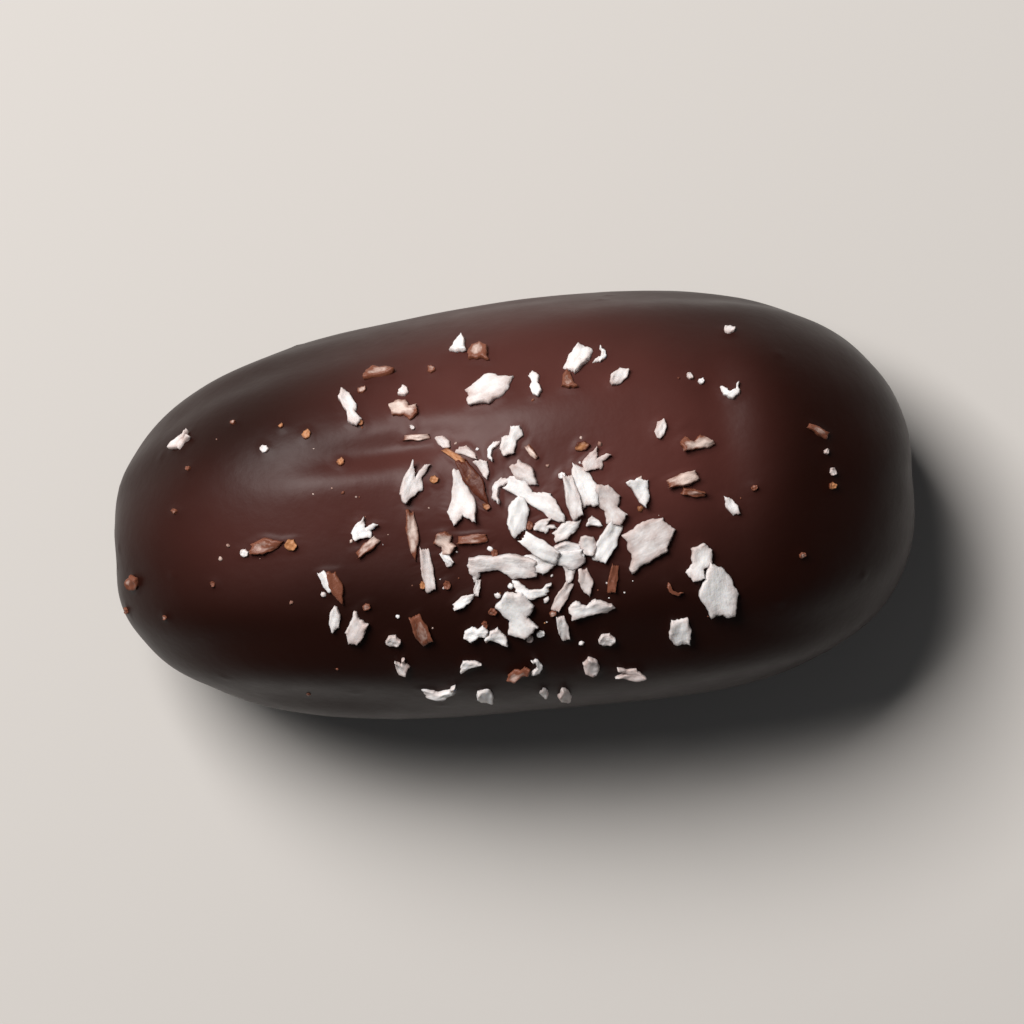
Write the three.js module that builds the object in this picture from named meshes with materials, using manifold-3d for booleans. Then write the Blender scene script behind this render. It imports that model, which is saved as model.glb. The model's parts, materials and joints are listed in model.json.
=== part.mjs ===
// A whole date dipped in dark chocolate and strewn with shredded coconut while the coat was wet.
// The coat set on a flat tray, so the piece has a flat underside with a thin foot round it.
// Millimetres, +Z up. The long axis lies along X, and the origin is the middle of the flat underside.

import * as THREE from "three";
import { mergeVertices } from "three/addons/utils/BufferGeometryUtils.js";
import Module from "manifold-3d";

// Driving sizes of the coated date.
const LENGTH = 51.2;
const WIDTH = 26.5;
const HEIGHT = 21.5;
const AXIS_HEIGHT = 9.0; // level of the widest outline above the tray
const UNDER_DEPTH = 11.0; // how deep the rounded underside would reach if the tray had not cut it flat

// How square the outline is from above and from the side: 2 is an ellipse.
const OUTLINE_POWER = 2.5;
const DOME_POWER = 2.3;
const TAPER = 0.08; // the right end is this much wider than the middle, the left end as much narrower
const BEND = 0.5; // sideways bend of the long axis at mid-length

// The foot, where the wet coat ran out on the tray, furthest under the raised ends.
const FOOT_REACH = 1.0;
const FOOT_END_REACH = 1.5; // this much more at the two ends
const FOOT_LEVEL = 0.4;
const FOOT_HEIGHT = 0.75;
const FOOT_SHARE = 0.75; // the usual reach of the ragged foot, as a share of the full one
const FOOT_WAVES = [
  { share: 0.22, times: 3, phase: 0.9 },
  { share: 0.16, times: 7, phase: 2.1 },
];

// Lengthwise wrinkles of the date's skin, softened by the coat. They wander sideways in two waves, come
// and go in patches, and fade towards the ends and underneath.
const WRINKLE_DEPTH = 0.13;
const WRINKLE_SPACING = 6.5;
const WRINKLE_FULL_GIRTH = 6; // they are at their deepest this far from the long axis
const WANDERS = [
  { height: 1.1, stretch: 7.3, phase: 0.6 },
  { height: 0.7, stretch: 3.9, phase: 2.2 },
];
const PATCH_STRETCH = 5.1;
const PATCH_TWIST = 1.7;
const PATCH_PHASE = 0.8;

// Single dents (negative) and swellings (positive) of the coat. x is along the date, roll is degrees
// round it from the top towards +Y, long and round are the soft half-sizes along x and round the girth.
const FEATURES = [
  { x: -7, roll: 38, long: 4.6, round: 10, rise: -0.75 }, // waist
  { x: -14.5, roll: 8, long: 5, round: 9, rise: 0.35 }, // left lobe
  { x: 4, roll: 26, long: 6, round: 8, rise: 0.35 }, // middle swelling
  { x: 13.7, roll: 24, long: 1.15, round: 5.5, rise: -0.42 }, // crease near the right end
  { x: 16.6, roll: 20, long: 2.4, round: 7, rise: 0.4 }, // swelling beyond the crease
  { x: -6.8, roll: 27, long: 4, round: 0.75, rise: -0.4 }, // groove of the skin fold
  { x: -7.4, roll: 20, long: 4.4, round: 1.1, rise: 0.26 }, // ridge of the skin fold
  { x: 5, roll: -78, long: 8, round: 3.2, rise: -0.55 }, // hollow of the near side
  { x: -11, roll: -58, long: 6.5, round: 1.8, rise: -0.35 }, // fold of the near side
  { x: 7, roll: 86, long: 9, round: 2.8, rise: -0.5 }, // hollow of the far side
  { x: -14, roll: 70, long: 5, round: 1.6, rise: -0.35 }, // fold of the far side
  { x: -23.5, roll: 55, long: 2.6, round: 3, rise: -0.45 }, // dimple of the left end
  { x: 22.5, roll: -50, long: 3, round: 3, rise: -0.4 }, // dimple of the right end
];

// Mesh fineness of the coat.
const COLUMNS = 78;
const FOOT_RINGS = 5;
const SIDE_RINGS = 7;
const DOME_RINGS = 14;

// Coconut flakes: torn, flat chips, pressed into the coat by one edge.
const SEED = 2024;
const FLAKE_THICKNESS = 0.42;
const FLAKE_SINK = 0.1; // how far the middle of a flat flake stands above the coat
const FLAKE_LEAN = 9; // usual tilt of a flake that stands out, in degrees
const SLENDERNESS = [0.34, 0.68]; // narrowest and widest strewn flake, as a share of its length
const HINGE_SHARE = 0.36; // a tilted flake turns about a line this share of its width from its middle
const BEST_OF = 5; // a scattered flake takes the emptiest of this many random places
const LAYER_LIFT = 0.3; // how much a flake rises for each flake that it lies on
const LAYER_REACH = 0.35; // two flakes overlap where their middles are nearer than this share of their length
const MOST_LAYERS = 2;

// Shredding tears the flesh in a few typical ways. Each outline goes anticlockwise, and is one long and
// one wide.
const SHAPES = {
  shard: [[-0.5, -0.28], [-0.15, -0.5], [0.2, -0.36], [0.5, 0.05], [0, 0.5], [-0.45, 0.3]],
  stick: [[-0.5, -0.3], [-0.05, -0.5], [0.5, -0.35], [0.46, 0.35], [0, 0.5], [-0.44, 0.4]],
  torn: [
    [-0.5, 0.1], [-0.3, -0.42], [0.05, -0.28], [0.3, -0.5], [0.5, -0.15],
    [0.4, 0.32], [0.14, 0.18], [0, 0.5], [-0.36, 0.4],
  ],
  lump: [[-0.5, -0.08], [-0.25, -0.46], [0.2, -0.5], [0.5, -0.1], [0.3, 0.4], [-0.2, 0.5]],
  wedge: [[-0.5, -0.5], [0.5, -0.3], [0.3, 0.1], [-0.2, 0.5], [-0.42, 0.1]],
  crescent: [
    [-0.5, 0.5], [-0.4, -0.1], [0, -0.5], [0.4, -0.2], [0.5, 0.45], [0.22, 0.05], [-0.05, -0.02], [-0.3, 0.4],
  ],
  fork: [
    [-0.5, 0.15], [-0.12, -0.5], [0.15, -0.3], [0.5, -0.5], [0.46, -0.26],
    [0.12, 0], [0.5, 0.3], [0.1, 0.46], [-0.32, 0.5],
  ],
  saddle: [
    [-0.5, -0.3], [0.05, -0.38], [0.3, -0.5], [0.5, -0.32], [0.37, 0],
    [0.13, 0.4], [-0.11, 0.1], [-0.3, 0.5], [-0.46, 0.3],
  ],
  chip: [
    [0.5, -0.04], [0.41, 0.34], [0.08, 0.5], [-0.34, 0.46], [-0.37, -0.1],
    [-0.5, -0.45], [-0.25, -0.37], [0.2, -0.4], [0.33, -0.2],
  ],
  fish: [
    [-0.5, -0.06], [-0.05, -0.26], [0.22, -0.5], [0.5, -0.34], [0.33, 0.02],
    [0.5, 0.42], [0.14, 0.5], [-0.2, 0.24], [-0.46, 0.14],
  ],
  band: [
    [-0.5, 0.42], [-0.5, 0], [-0.42, -0.5], [-0.34, -0.1], [-0.08, -0.06],
    [0.15, -0.4], [0.5, -0.3], [0.46, 0.3], [0.1, 0.5],
  ],
};
const STREWN_SHAPES = ["shard", "stick", "torn", "lump", "wedge", "crescent", "fork"];

// The flakes that stand out, largest first: x, y, length and width in mm, turn in degrees, and outline.
const PLACED_FLAKES = [
  [1.9, 1.6, 4.4, 1.6, -34, "saddle"],
  [2.2, -2.4, 4.4, 1.6, -174, "saddle"],
  [-0.7, -2.5, 4.2, 1.8, -4, "band"],
  [12.3, -4.9, 3.9, 2.5, 97, "shard"],
  [8.4, -1.7, 3.7, 2.7, 23, "chip"],
  [-1.9, 3, 3.5, 1.1, -63, "shard"],
  [-2.9, 2.2, 3.5, 1.9, -87, "fish"],
  [-0.1, -5.4, 3.3, 2.4, -67, "torn"],
  [-6.1, 0.1, 3.3, 0.8, -90, "shard"],
  [-0.4, 8.5, 3.3, 2.2, 18, "shard"],
  [4.7, 2.1, 3.1, 1.7, 106, "shard"],
  [-9.3, 8.6, 3, 1, -70, "torn"],
  [6.2, 0.8, 2.9, 1.7, -59, "torn"],
  [5.9, -1.4, 2.9, 1.2, -120, "stick"],
  [-5.4, -2.2, 2.9, 0.8, -86, "stick"],
  [4, 1.5, 2.9, 0.9, -80, "stick"],
  [1.7, -1.3, 2.8, 1.1, -38, "stick"],
  [4.5, -5.3, 2.8, 1.3, 9, "saddle"],
  [-5.7, 3.4, 2.8, 1.4, 71, "fork"],
  [0.6, 0.6, 2.7, 1.3, -101, "lump"],
  [0.9, -4, 2.5, 1.2, -8, "crescent"],
  [11.4, -3.2, 2.5, 1.6, -104, "torn"],
  [-11.1, -2.8, 2.3, 0.9, -77, "shard"],
  [-15.1, 0.4, 2.3, 1, 7, "shard"],
  [12, 3.9, 2.2, 1.1, 8, "saddle"],
  [2.8, -4.5, 2.2, 0.7, -123, "stick"],
  [-10.2, -5.6, 2.2, 1.3, -119, "chip"],
  [-6.2, -6, 2.2, 1, -71, "stick"],
  [0.6, 5.2, 2.1, 1.2, 64, "torn"],
  [3.5, -0.4, 2.1, 1, 27, "shard"],
  [10.8, 1.8, 2.1, 0.8, 12, "stick"],
  [9.8, -7.4, 2.1, 1.4, -85, "stick"],
  [1.3, 3.1, 2.1, 1.2, -48, "shard"],
  [3.5, -1.7, 2, 1.1, -17, "lump"],
  [8.3, 1.4, 2, 1.3, -65, "wedge"],
  [-2.4, -0.5, 2, 0.6, 1, "stick"],
  [-7.3, 10.7, 2, 1.1, 3, "wedge"],
  [4.3, -3.8, 1.9, 0.9, -83, "shard"],
  [2.6, -6.5, 1.9, 0.7, -82, "stick"],
  [6, -3.7, 1.9, 0.6, -103, "stick"],
  [-5.9, 8.1, 1.9, 1.3, -16, "torn"],
  [-3, 4.8, 1.8, 0.5, -38, "stick"],
  [-0.4, 2.4, 1.8, 0.9, -117, "crescent"],
  [-5.3, 6.4, 1.8, 0.4, -2, "stick"],
  [-9, -0.4, 1.8, 0.6, 35, "stick"],
  [-11.4, -4.8, 1.8, 0.7, -100, "lump"],
  [5.6, 3.4, 1.7, 1.3, 54, "fork"],
  [-3.3, -4.4, 1.7, 0.7, 28, "shard"],
  [-20.1, 7.5, 1.7, 1, 30, "fork"],
  [11.4, 1, 1.6, 0.5, -14, "stick"],
  [-2.8, -6.5, 1.6, 1, 19, "torn"],
  [-2.2, 11.3, 1.6, 1.1, 94, "wedge"],
  [-0.9, 10.7, 1.6, 1.4, 90, "chip"],
  [-9.1, 0.7, 1.6, 1.3, 57, "fork"],
  [19.4, 3.7, 1.6, 0.5, -30, "stick"],
  [-2.1, 4.9, 1.5, 0.7, -29, "wedge"],
  [-4.1, -0.6, 1.5, 1.3, -51, "torn"],
  [-1.4, -6.8, 1.5, 1.1, -29, "wedge"],
  [-11.7, -2.3, 1.5, 0.6, -65, "stick"],
  [13.7, 0, 1.5, 0.7, 117, "shard"],
  [-0.6, 4.8, 1.4, 0.6, -112, "crescent"],
  [-1.2, 3.8, 1.4, 0.8, -63, "wedge"],
  [4.7, -1.5, 1.4, 1.1, -63, "lump"],
  [2.1, -0.1, 1.3, 0.9, 24, "fork"],
  [14.4, 6.6, 1.3, 1.1, 7, "crescent"],
  [9.8, 4.9, 1.3, 0.7, 72, "lump"],
  [3.4, -3.2, 1.3, 0.8, -89, "wedge"],
  [-24, -1.5, 1.2, 0.9, 44, "lump"],
];

// The rest of the flakes, strewn by rule on the near flank and behind the heap. Each group has a middle
// and a spread.
const STREWN = [
  { count: 10, x: 1, y: -9.9, along: 4.4, across: 1, longest: 2.6, shortest: 1.2, tilt: 26 },
  { count: 5, x: 4.6, y: 8.6, along: 1.7, across: 1.1, longest: 2.4, shortest: 1.2, tilt: 18 },
];
const STREW_LIMIT = 0.86; // no strewn flake lies further out than this share of the outline

const SLOPE_STEP = 0.4; // half the stretch over which the coat's slope is measured
const WELD = 1e-4; // points nearer than this are one

const CHOCOLATE = new THREE.MeshStandardMaterial({ color: 0x3a1f18, roughness: 0.45, metalness: 0 });

const wasm = await Module();
wasm.setup();

// The same random numbers on every run, from 0 to 1.
let state = SEED;
function draw() {
  state = (state * 1664525 + 1013904223) % 4294967296;
  return state / 4294967296;
}

function between([low, high]) {
  return low + (high - low) * draw();
}

// A bell-shaped random number with a spread of about 1.
function bell() {
  return (draw() + draw() + draw() - 1.5) * 2;
}

// How far out a place lies on the outline seen from above: 0 in the middle, 1 on the outline.
function outlineShare(x, y) {
  return (Math.abs(x) ** OUTLINE_POWER + Math.abs(y) ** OUTLINE_POWER) ** (1 / OUTLINE_POWER);
}

// Height of all dents and swellings together at a point of the smooth form.
function relief(point) {
  const level = point.z - AXIS_HEIGHT;
  const girth = Math.hypot(point.y, level);
  const roll = Math.atan2(point.y, level);
  let rise = 0;
  for (const { x, roll: rollDegrees, long, round, rise: peak } of FEATURES) {
    let turn = roll - THREE.MathUtils.degToRad(rollDegrees);
    turn = Math.atan2(Math.sin(turn), Math.cos(turn));
    const along = (point.x - x) / long;
    const across = (turn * girth) / round;
    rise += peak * Math.exp(-0.5 * (along * along + across * across));
  }
  let sideways = roll * girth;
  for (const { height, stretch, phase } of WANDERS) sideways += height * Math.sin(point.x / stretch + phase);
  const twist = PATCH_TWIST * Math.sin(2 * roll + PATCH_PHASE);
  const patches = 0.5 + 0.5 * Math.sin(point.x / PATCH_STRETCH + twist);
  const fade = Math.min(1, girth / WRINKLE_FULL_GIRTH) * Math.cos(roll / 2) ** 2;
  return rise + WRINKLE_DEPTH * patches * fade * Math.sin((2 * Math.PI * sideways) / WRINKLE_SPACING);
}

// The point of the coat in a direction. The direction is given in half-sizes of the date, so 1, 0, 0
// points at the right tip and 0, 0, 1 at the top.
function coatPoint({ x, y, z }) {
  const size = (outlineShare(x, y) ** DOME_POWER + Math.abs(z) ** DOME_POWER) ** (1 / DOME_POWER);
  const depth = z > 0 ? HEIGHT - AXIS_HEIGHT : UNDER_DEPTH;
  const point = new THREE.Vector3((x * LENGTH) / 2, (y * WIDTH) / 2, z * depth).divideScalar(size);
  const outward = new THREE.Vector3(
    point.x / (LENGTH / 2) ** 2,
    point.y / (WIDTH / 2) ** 2,
    point.z / depth ** 2,
  ).normalize();
  point.z += AXIS_HEIGHT;
  point.addScaledVector(outward, relief(point));

  const along = point.x / (LENGTH / 2);
  point.y = point.y * (1 + TAPER * along) + BEND * (1 - along * along);

  const heading = Math.atan2(y, x);
  let ragged = FOOT_SHARE;
  for (const { share, times, phase } of FOOT_WAVES) ragged += share * Math.sin(times * heading + phase);
  const reach = FOOT_REACH + FOOT_END_REACH * Math.cos(heading) ** 2;
  const foot = reach * ragged * Math.exp(-(((point.z - FOOT_LEVEL) / FOOT_HEIGHT) ** 2));
  point.x += foot * Math.cos(heading);
  point.y += foot * Math.sin(heading);
  return point;
}

// The direction at a share of the way from the tray (0) to the widest outline (1) and the top (2).
function direction(heading, climb) {
  const flat = new THREE.Vector3(Math.cos(heading), Math.sin(heading), 0);
  flat.divideScalar(outlineShare(flat.x, flat.y));
  const low = AXIS_HEIGHT / UNDER_DEPTH;
  const reach = climb < 1
    ? (1 - (low * (1 - climb)) ** DOME_POWER) ** (1 / DOME_POWER)
    : Math.cos(((climb - 1) * Math.PI) / 2);
  flat.multiplyScalar(reach);
  flat.z = climb < 1 ? -low * (1 - climb) : Math.sin(((climb - 1) * Math.PI) / 2);
  return flat;
}

// A closed solid from a list of rings of equal length, lowest first, between two middle points.
function solidFromRings(bottom, rings, top) {
  const columns = rings[0].length;
  const points = [bottom, ...rings.flat(), top];
  const at = (ring, column) => 1 + ring * columns + (column % columns);
  const faces = [];
  for (let column = 0; column < columns; column++) {
    faces.push(0, at(0, column + 1), at(0, column));
    for (let ring = 0; ring < rings.length - 1; ring++) {
      const [a, b] = [at(ring, column), at(ring, column + 1)];
      const [c, d] = [at(ring + 1, column + 1), at(ring + 1, column)];
      faces.push(a, b, c, a, c, d);
    }
    faces.push(at(rings.length - 1, column), at(rings.length - 1, column + 1), points.length - 1);
  }
  const geometry = new THREE.BufferGeometry().setFromPoints(points);
  geometry.setIndex(faces);
  return geometry;
}

// The chocolate coat: rings close together at the foot, wider apart up to the top.
function coatGeometry() {
  const climbs = [];
  const footShare = (FOOT_LEVEL + 2 * FOOT_HEIGHT) / AXIS_HEIGHT;
  for (let i = 0; i < FOOT_RINGS; i++) climbs.push((footShare * i) / FOOT_RINGS);
  for (let i = 0; i < SIDE_RINGS; i++) climbs.push(footShare + ((1 - footShare) * i) / SIDE_RINGS);
  for (let i = 0; i < DOME_RINGS; i++) climbs.push(1 + i / DOME_RINGS);
  const rings = climbs.map((climb) =>
    Array.from({ length: COLUMNS }, (_, column) => {
      const heading = (2 * Math.PI * column) / COLUMNS;
      const point = coatPoint(direction(heading, climb));
      if (climb === 0) point.z = 0;
      return point;
    }),
  );
  return solidFromRings(new THREE.Vector3(0, 0, 0), rings, coatPoint(new THREE.Vector3(0, 0, 1)));
}

// Place and outward direction of the coat's top above a place in the smooth outline.
function skin(x, y) {
  const over = (px, py) => {
    const [dx, dy] = [px / (LENGTH / 2), py / (WIDTH / 2)];
    const rise = Math.max(0, 1 - outlineShare(dx, dy) ** DOME_POWER) ** (1 / DOME_POWER);
    return coatPoint(new THREE.Vector3(dx, dy, rise));
  };
  const alongX = over(x + SLOPE_STEP, y).sub(over(x - SLOPE_STEP, y));
  const alongY = over(x, y + SLOPE_STEP).sub(over(x, y - SLOPE_STEP));
  return { place: over(x, y), normal: alongX.cross(alongY).normalize() };
}

// How many earlier flakes a new flake of a length lies on at a place.
function layersUnder(place, length, flakes) {
  const near = (f) => Math.hypot(f.x - place.x, f.y - place.y) < LAYER_REACH * 0.5 * (f.length + length);
  return Math.min(MOST_LAYERS, flakes.filter(near).length);
}

// Every flake as its place, size, turn, tilt, shape and layer.
function flakeList() {
  const flakes = [];
  const add = (place, length, width, turn, tilt, shape) => {
    flakes.push({ ...place, length, width, turn, tilt, shape, layer: layersUnder(place, length, flakes) });
  };
  for (const [x, y, length, width, turn, shape] of PLACED_FLAKES) {
    add({ x, y }, length, width, turn, FLAKE_LEAN * bell(), shape);
  }
  for (const { count, x, y, along, across, longest, shortest, tilt } of STREWN) {
    for (let i = 0; i < count; i++) {
      let best = null;
      let room = -1;
      for (let trial = 0; trial < BEST_OF; trial++) {
        const place = { x: x + along * bell(), y: y + across * bell() };
        const free = Math.min(...flakes.map((f) => Math.hypot(f.x - place.x, f.y - place.y)));
        const inside = outlineShare(place.x / (LENGTH / 2), place.y / (WIDTH / 2)) < STREW_LIMIT;
        if (inside && free > room) [best, room] = [place, free];
      }
      const length = longest + (shortest - longest) * Math.sqrt((i + draw()) / count);
      const width = length * between(SLENDERNESS);
      const turn = between([0, 180]);
      const lean = between([-tilt, tilt]);
      if (best) add(best, length, width, turn, lean, STREWN_SHAPES[flakes.length % STREWN_SHAPES.length]);
    }
  }
  return flakes;
}

// One flake: its outline as a thin chip, laid on the coat, turned, and tilted so that one edge digs in.
function flakeGeometry(flake) {
  const { place, normal } = skin(flake.x, flake.y);
  const tilt = THREE.MathUtils.degToRad(flake.tilt);
  const turn = THREE.MathUtils.degToRad(flake.turn);
  const hinge = HINGE_SHARE * flake.width * Math.abs(Math.sin(tilt));
  const lift = FLAKE_SINK + LAYER_LIFT * flake.layer + hinge;
  const facing = new THREE.Quaternion().setFromUnitVectors(new THREE.Vector3(0, 0, 1), normal);
  facing.multiply(new THREE.Quaternion().setFromAxisAngle(new THREE.Vector3(0, 0, 1), turn));
  facing.multiply(new THREE.Quaternion().setFromAxisAngle(new THREE.Vector3(1, 0, 0), tilt));
  const shape = new THREE.Shape(SHAPES[flake.shape].map(([x, y]) => new THREE.Vector2(x, y)));
  const chip = new THREE.ExtrudeGeometry(shape, { depth: FLAKE_THICKNESS, bevelEnabled: false });
  chip.translate(0, 0, -FLAKE_THICKNESS / 2);
  const size = new THREE.Vector3(flake.length, flake.width, 1);
  return chip.applyMatrix4(new THREE.Matrix4().compose(place.addScaledVector(normal, lift), facing, size));
}

// A closed three.js geometry as a manifold-3d solid.
function solidOf(geometry) {
  const bare = geometry.clone();
  bare.deleteAttribute("normal");
  bare.deleteAttribute("uv");
  const merged = mergeVertices(bare, WELD);
  const vertProperties = merged.attributes.position.array;
  const triVerts = new Uint32Array(merged.index.array);
  return new wasm.Manifold(new wasm.Mesh({ numProp: 3, vertProperties, triVerts }));
}

// A manifold-3d solid as a three.js geometry.
function geometryOf(solid) {
  const { vertProperties, triVerts } = solid.getMesh();
  const geometry = new THREE.BufferGeometry();
  geometry.setAttribute("position", new THREE.BufferAttribute(vertProperties, 3));
  geometry.setIndex(new THREE.BufferAttribute(triVerts, 1));
  geometry.computeVertexNormals();
  return geometry;
}

const flakes = flakeList();
const coat = solidOf(coatGeometry());
const chips = flakes.map((flake) => solidOf(flakeGeometry(flake)));
const whole = chips.reduce((sum, chip) => sum.add(chip), coat);
const fused = whole.decompose().sort((a, b) => b.volume() - a.volume())[0];

const date = new THREE.Mesh(geometryOf(fused), CHOCOLATE);
date.name = "chocolate_date";

const part = new THREE.Group();
part.add(date);

export default part;
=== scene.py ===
# %% [markdown]
# # A date dipped in dark chocolate
#
# This lesson dresses a chocolate-coated date in its real looks. The real piece was made in three
# steps: a whole date was dipped in melted chocolate, shredded coconut fell on it while the coat was
# wet, and the coat set on a flat tray.
#
# The solid model is loaded first. It says where the piece is and how large it is, so everything
# below is built in the same place, in metres, and nothing is fitted by eye afterwards.

# %% Load the solid model
import json
import math

import bmesh
import bpy
import numpy as np
from mathutils import Matrix, Quaternion, Vector
from mathutils.geometry import delaunay_2d_cdt

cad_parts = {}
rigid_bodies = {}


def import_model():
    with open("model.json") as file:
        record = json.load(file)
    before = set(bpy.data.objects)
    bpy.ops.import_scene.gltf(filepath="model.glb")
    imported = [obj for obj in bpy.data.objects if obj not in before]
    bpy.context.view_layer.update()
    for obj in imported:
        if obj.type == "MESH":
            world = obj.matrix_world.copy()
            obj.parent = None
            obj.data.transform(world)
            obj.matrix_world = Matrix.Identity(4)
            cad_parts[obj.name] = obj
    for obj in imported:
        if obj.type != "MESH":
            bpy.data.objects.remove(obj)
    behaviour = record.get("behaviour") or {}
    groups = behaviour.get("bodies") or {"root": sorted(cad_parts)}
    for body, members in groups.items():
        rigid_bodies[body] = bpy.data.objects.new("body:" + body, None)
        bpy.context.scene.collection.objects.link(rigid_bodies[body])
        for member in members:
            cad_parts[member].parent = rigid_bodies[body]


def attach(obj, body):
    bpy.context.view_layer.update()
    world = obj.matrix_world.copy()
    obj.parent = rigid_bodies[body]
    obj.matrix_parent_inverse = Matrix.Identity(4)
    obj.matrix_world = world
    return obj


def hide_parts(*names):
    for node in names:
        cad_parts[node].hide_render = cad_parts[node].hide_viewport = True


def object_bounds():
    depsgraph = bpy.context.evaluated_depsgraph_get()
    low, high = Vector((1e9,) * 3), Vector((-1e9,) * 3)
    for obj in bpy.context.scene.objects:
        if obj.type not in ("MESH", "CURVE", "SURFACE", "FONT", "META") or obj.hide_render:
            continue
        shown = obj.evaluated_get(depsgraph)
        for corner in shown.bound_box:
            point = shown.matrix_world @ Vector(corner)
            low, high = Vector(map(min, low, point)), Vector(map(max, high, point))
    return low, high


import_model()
CAD_NODE = "chocolate_date"
BODY = "root"
MM = 0.001
cad_low, cad_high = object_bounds()
print("solid model, mm:", [round((high - low) / MM, 1) for low, high in zip(cad_low, cad_high)])

# %% [markdown]
# ## Sizes
#
# A coated date is a rounded bean. From above its outline is a little squarer than an ellipse, and
# from the side it is a dome cut flat by the tray. A few driving sizes in millimetres say all of
# that, so they come first. The names say what a confectioner could measure with a ruler.

# %% Driving sizes of the coated date, in millimetres
LENGTH = 51.2
WIDTH = 26.5
HEIGHT = 21.5
AXIS_HEIGHT = 9.0  # level of the widest outline above the tray
UNDER_DEPTH = 11.0  # how deep the rounded underside would reach if the tray had not cut it flat
OUTLINE_POWER = 2.5  # 2 is an ellipse, and more is squarer
DOME_POWER = 2.3
TAPER = 0.08  # the right end is this much wider than the middle, the left end as much narrower
BEND = 0.5  # sideways bend of the long axis

FOOT_REACH = 1.0  # how far the wet coat ran out on the tray
FOOT_END_REACH = 1.5  # this much more at the two ends
FOOT_LEVEL = 0.4
FOOT_HEIGHT = 0.75
FOOT_SHARE = 0.75  # the usual reach of the ragged foot, as a share of the full one
FOOT_WAVES = [(0.22, 3, 0.9), (0.16, 7, 2.1)]  # share, times round the piece, phase

WRINKLE_DEPTH = 0.13
WRINKLE_SPACING = 6.5
WRINKLE_FULL_GIRTH = 6  # the wrinkles are at their deepest this far from the long axis
WANDERS = [(1.1, 7.3, 0.6), (0.7, 3.9, 2.2)]  # height, stretch, phase
PATCH_STRETCH = 5.1
PATCH_TWIST = 1.7
PATCH_PHASE = 0.8

# Dents (negative) and swellings: x, degrees round from the top towards +Y, half-sizes along and
# round, and rise.
FEATURES = [
    (-7, 38, 4.6, 10, -0.75),  # waist
    (-14.5, 8, 5, 9, 0.35),  # left lobe
    (4, 26, 6, 8, 0.35),  # middle swelling
    (13.7, 24, 1.15, 5.5, -0.42),  # crease near the right end
    (16.6, 20, 2.4, 7, 0.4),  # swelling beyond the crease
    (-6.8, 27, 4, 0.75, -0.4),  # groove of the skin fold
    (-7.4, 20, 4.4, 1.1, 0.26),  # ridge of the skin fold
    (5, -78, 8, 3.2, -0.55),  # hollow of the near side
    (-11, -58, 6.5, 1.8, -0.35),  # fold of the near side
    (7, 86, 9, 2.8, -0.5),  # hollow of the far side
    (-14, 70, 5, 1.6, -0.35),  # fold of the far side
    (-23.5, 55, 2.6, 3, -0.45),  # dimple of the left end
    (22.5, -50, 3, 3, -0.4),  # dimple of the right end
]
print(f"coated date {LENGTH} x {WIDTH} x {HEIGHT} mm with {len(FEATURES)} dents and swellings")

# %% [markdown]
# ## The form of the coat as a formula
#
# A sphere pushed out to a superellipsoid gives the bean. Each dent or swelling is a soft bump: a
# bell curve along the date times a bell curve round it. The wrinkles of the date's skin show
# through the coat as long, shallow waves. Sculpting would also work, but a formula can be asked for
# the surface at any place, and the coconut further down needs just that to lie on the coat.

# %% The outline and the relief


def outline_share(x, y):
    """How far out a place lies on the outline seen from above: 0 in the middle, 1 on the outline."""
    return (np.abs(x) ** OUTLINE_POWER + np.abs(y) ** OUTLINE_POWER) ** (1 / OUTLINE_POWER)


def relief(x, y, z):
    """Height of all dents, swellings and wrinkles together at points of the smooth form."""
    level = z - AXIS_HEIGHT
    girth = np.hypot(y, level)
    roll = np.arctan2(y, level)
    rise = np.zeros_like(x)
    for at, roll_degrees, along, across, peak in FEATURES:
        turn = roll - math.radians(roll_degrees)
        turn = np.arctan2(np.sin(turn), np.cos(turn))
        rise += peak * np.exp(-0.5 * (((x - at) / along) ** 2 + (turn * girth / across) ** 2))
    sideways = roll * girth
    for height, stretch, phase in WANDERS:
        sideways = sideways + height * np.sin(x / stretch + phase)
    patches = 0.5 + 0.5 * np.sin(x / PATCH_STRETCH + PATCH_TWIST * np.sin(2 * roll + PATCH_PHASE))
    fade = np.minimum(1, girth / WRINKLE_FULL_GIRTH) * np.cos(roll / 2) ** 2
    waves = np.sin(2 * np.pi * sideways / WRINKLE_SPACING)
    return rise + WRINKLE_DEPTH * patches * fade * waves


crest_relief = relief(np.zeros(1), np.zeros(1), np.full(1, HEIGHT))[0]
print(f"relief in the middle of the top: {crest_relief:.2f} mm")

# %% The coat's surface in any direction


def coat_points(directions):
    """Points of the coat, in millimetres, in directions given in half-sizes of the date."""
    x, y, z = np.asarray(directions, float).T
    size = (outline_share(x, y) ** DOME_POWER + np.abs(z) ** DOME_POWER) ** (1 / DOME_POWER)
    depth = np.where(z > 0, HEIGHT - AXIS_HEIGHT, UNDER_DEPTH)
    half = np.stack([np.full_like(x, LENGTH / 2), np.full_like(x, WIDTH / 2), depth], axis=1)
    points = np.stack([x, y, z], axis=1) * half / size[:, None]
    outward = points / half**2
    outward /= np.linalg.norm(outward, axis=1)[:, None]
    points[:, 2] += AXIS_HEIGHT
    points += outward * relief(*points.T)[:, None]

    along = points[:, 0] / (LENGTH / 2)
    points[:, 1] = points[:, 1] * (1 + TAPER * along) + BEND * (1 - along**2)

    heading = np.arctan2(y, x)
    ragged = FOOT_SHARE + sum(share * np.sin(times * heading + phase) for share, times, phase in FOOT_WAVES)
    reach = FOOT_REACH + FOOT_END_REACH * np.cos(heading) ** 2
    foot = reach * ragged * np.exp(-(((points[:, 2] - FOOT_LEVEL) / FOOT_HEIGHT) ** 2))
    points[:, 0] += foot * np.cos(heading)
    points[:, 1] += foot * np.sin(heading)
    return points


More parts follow.
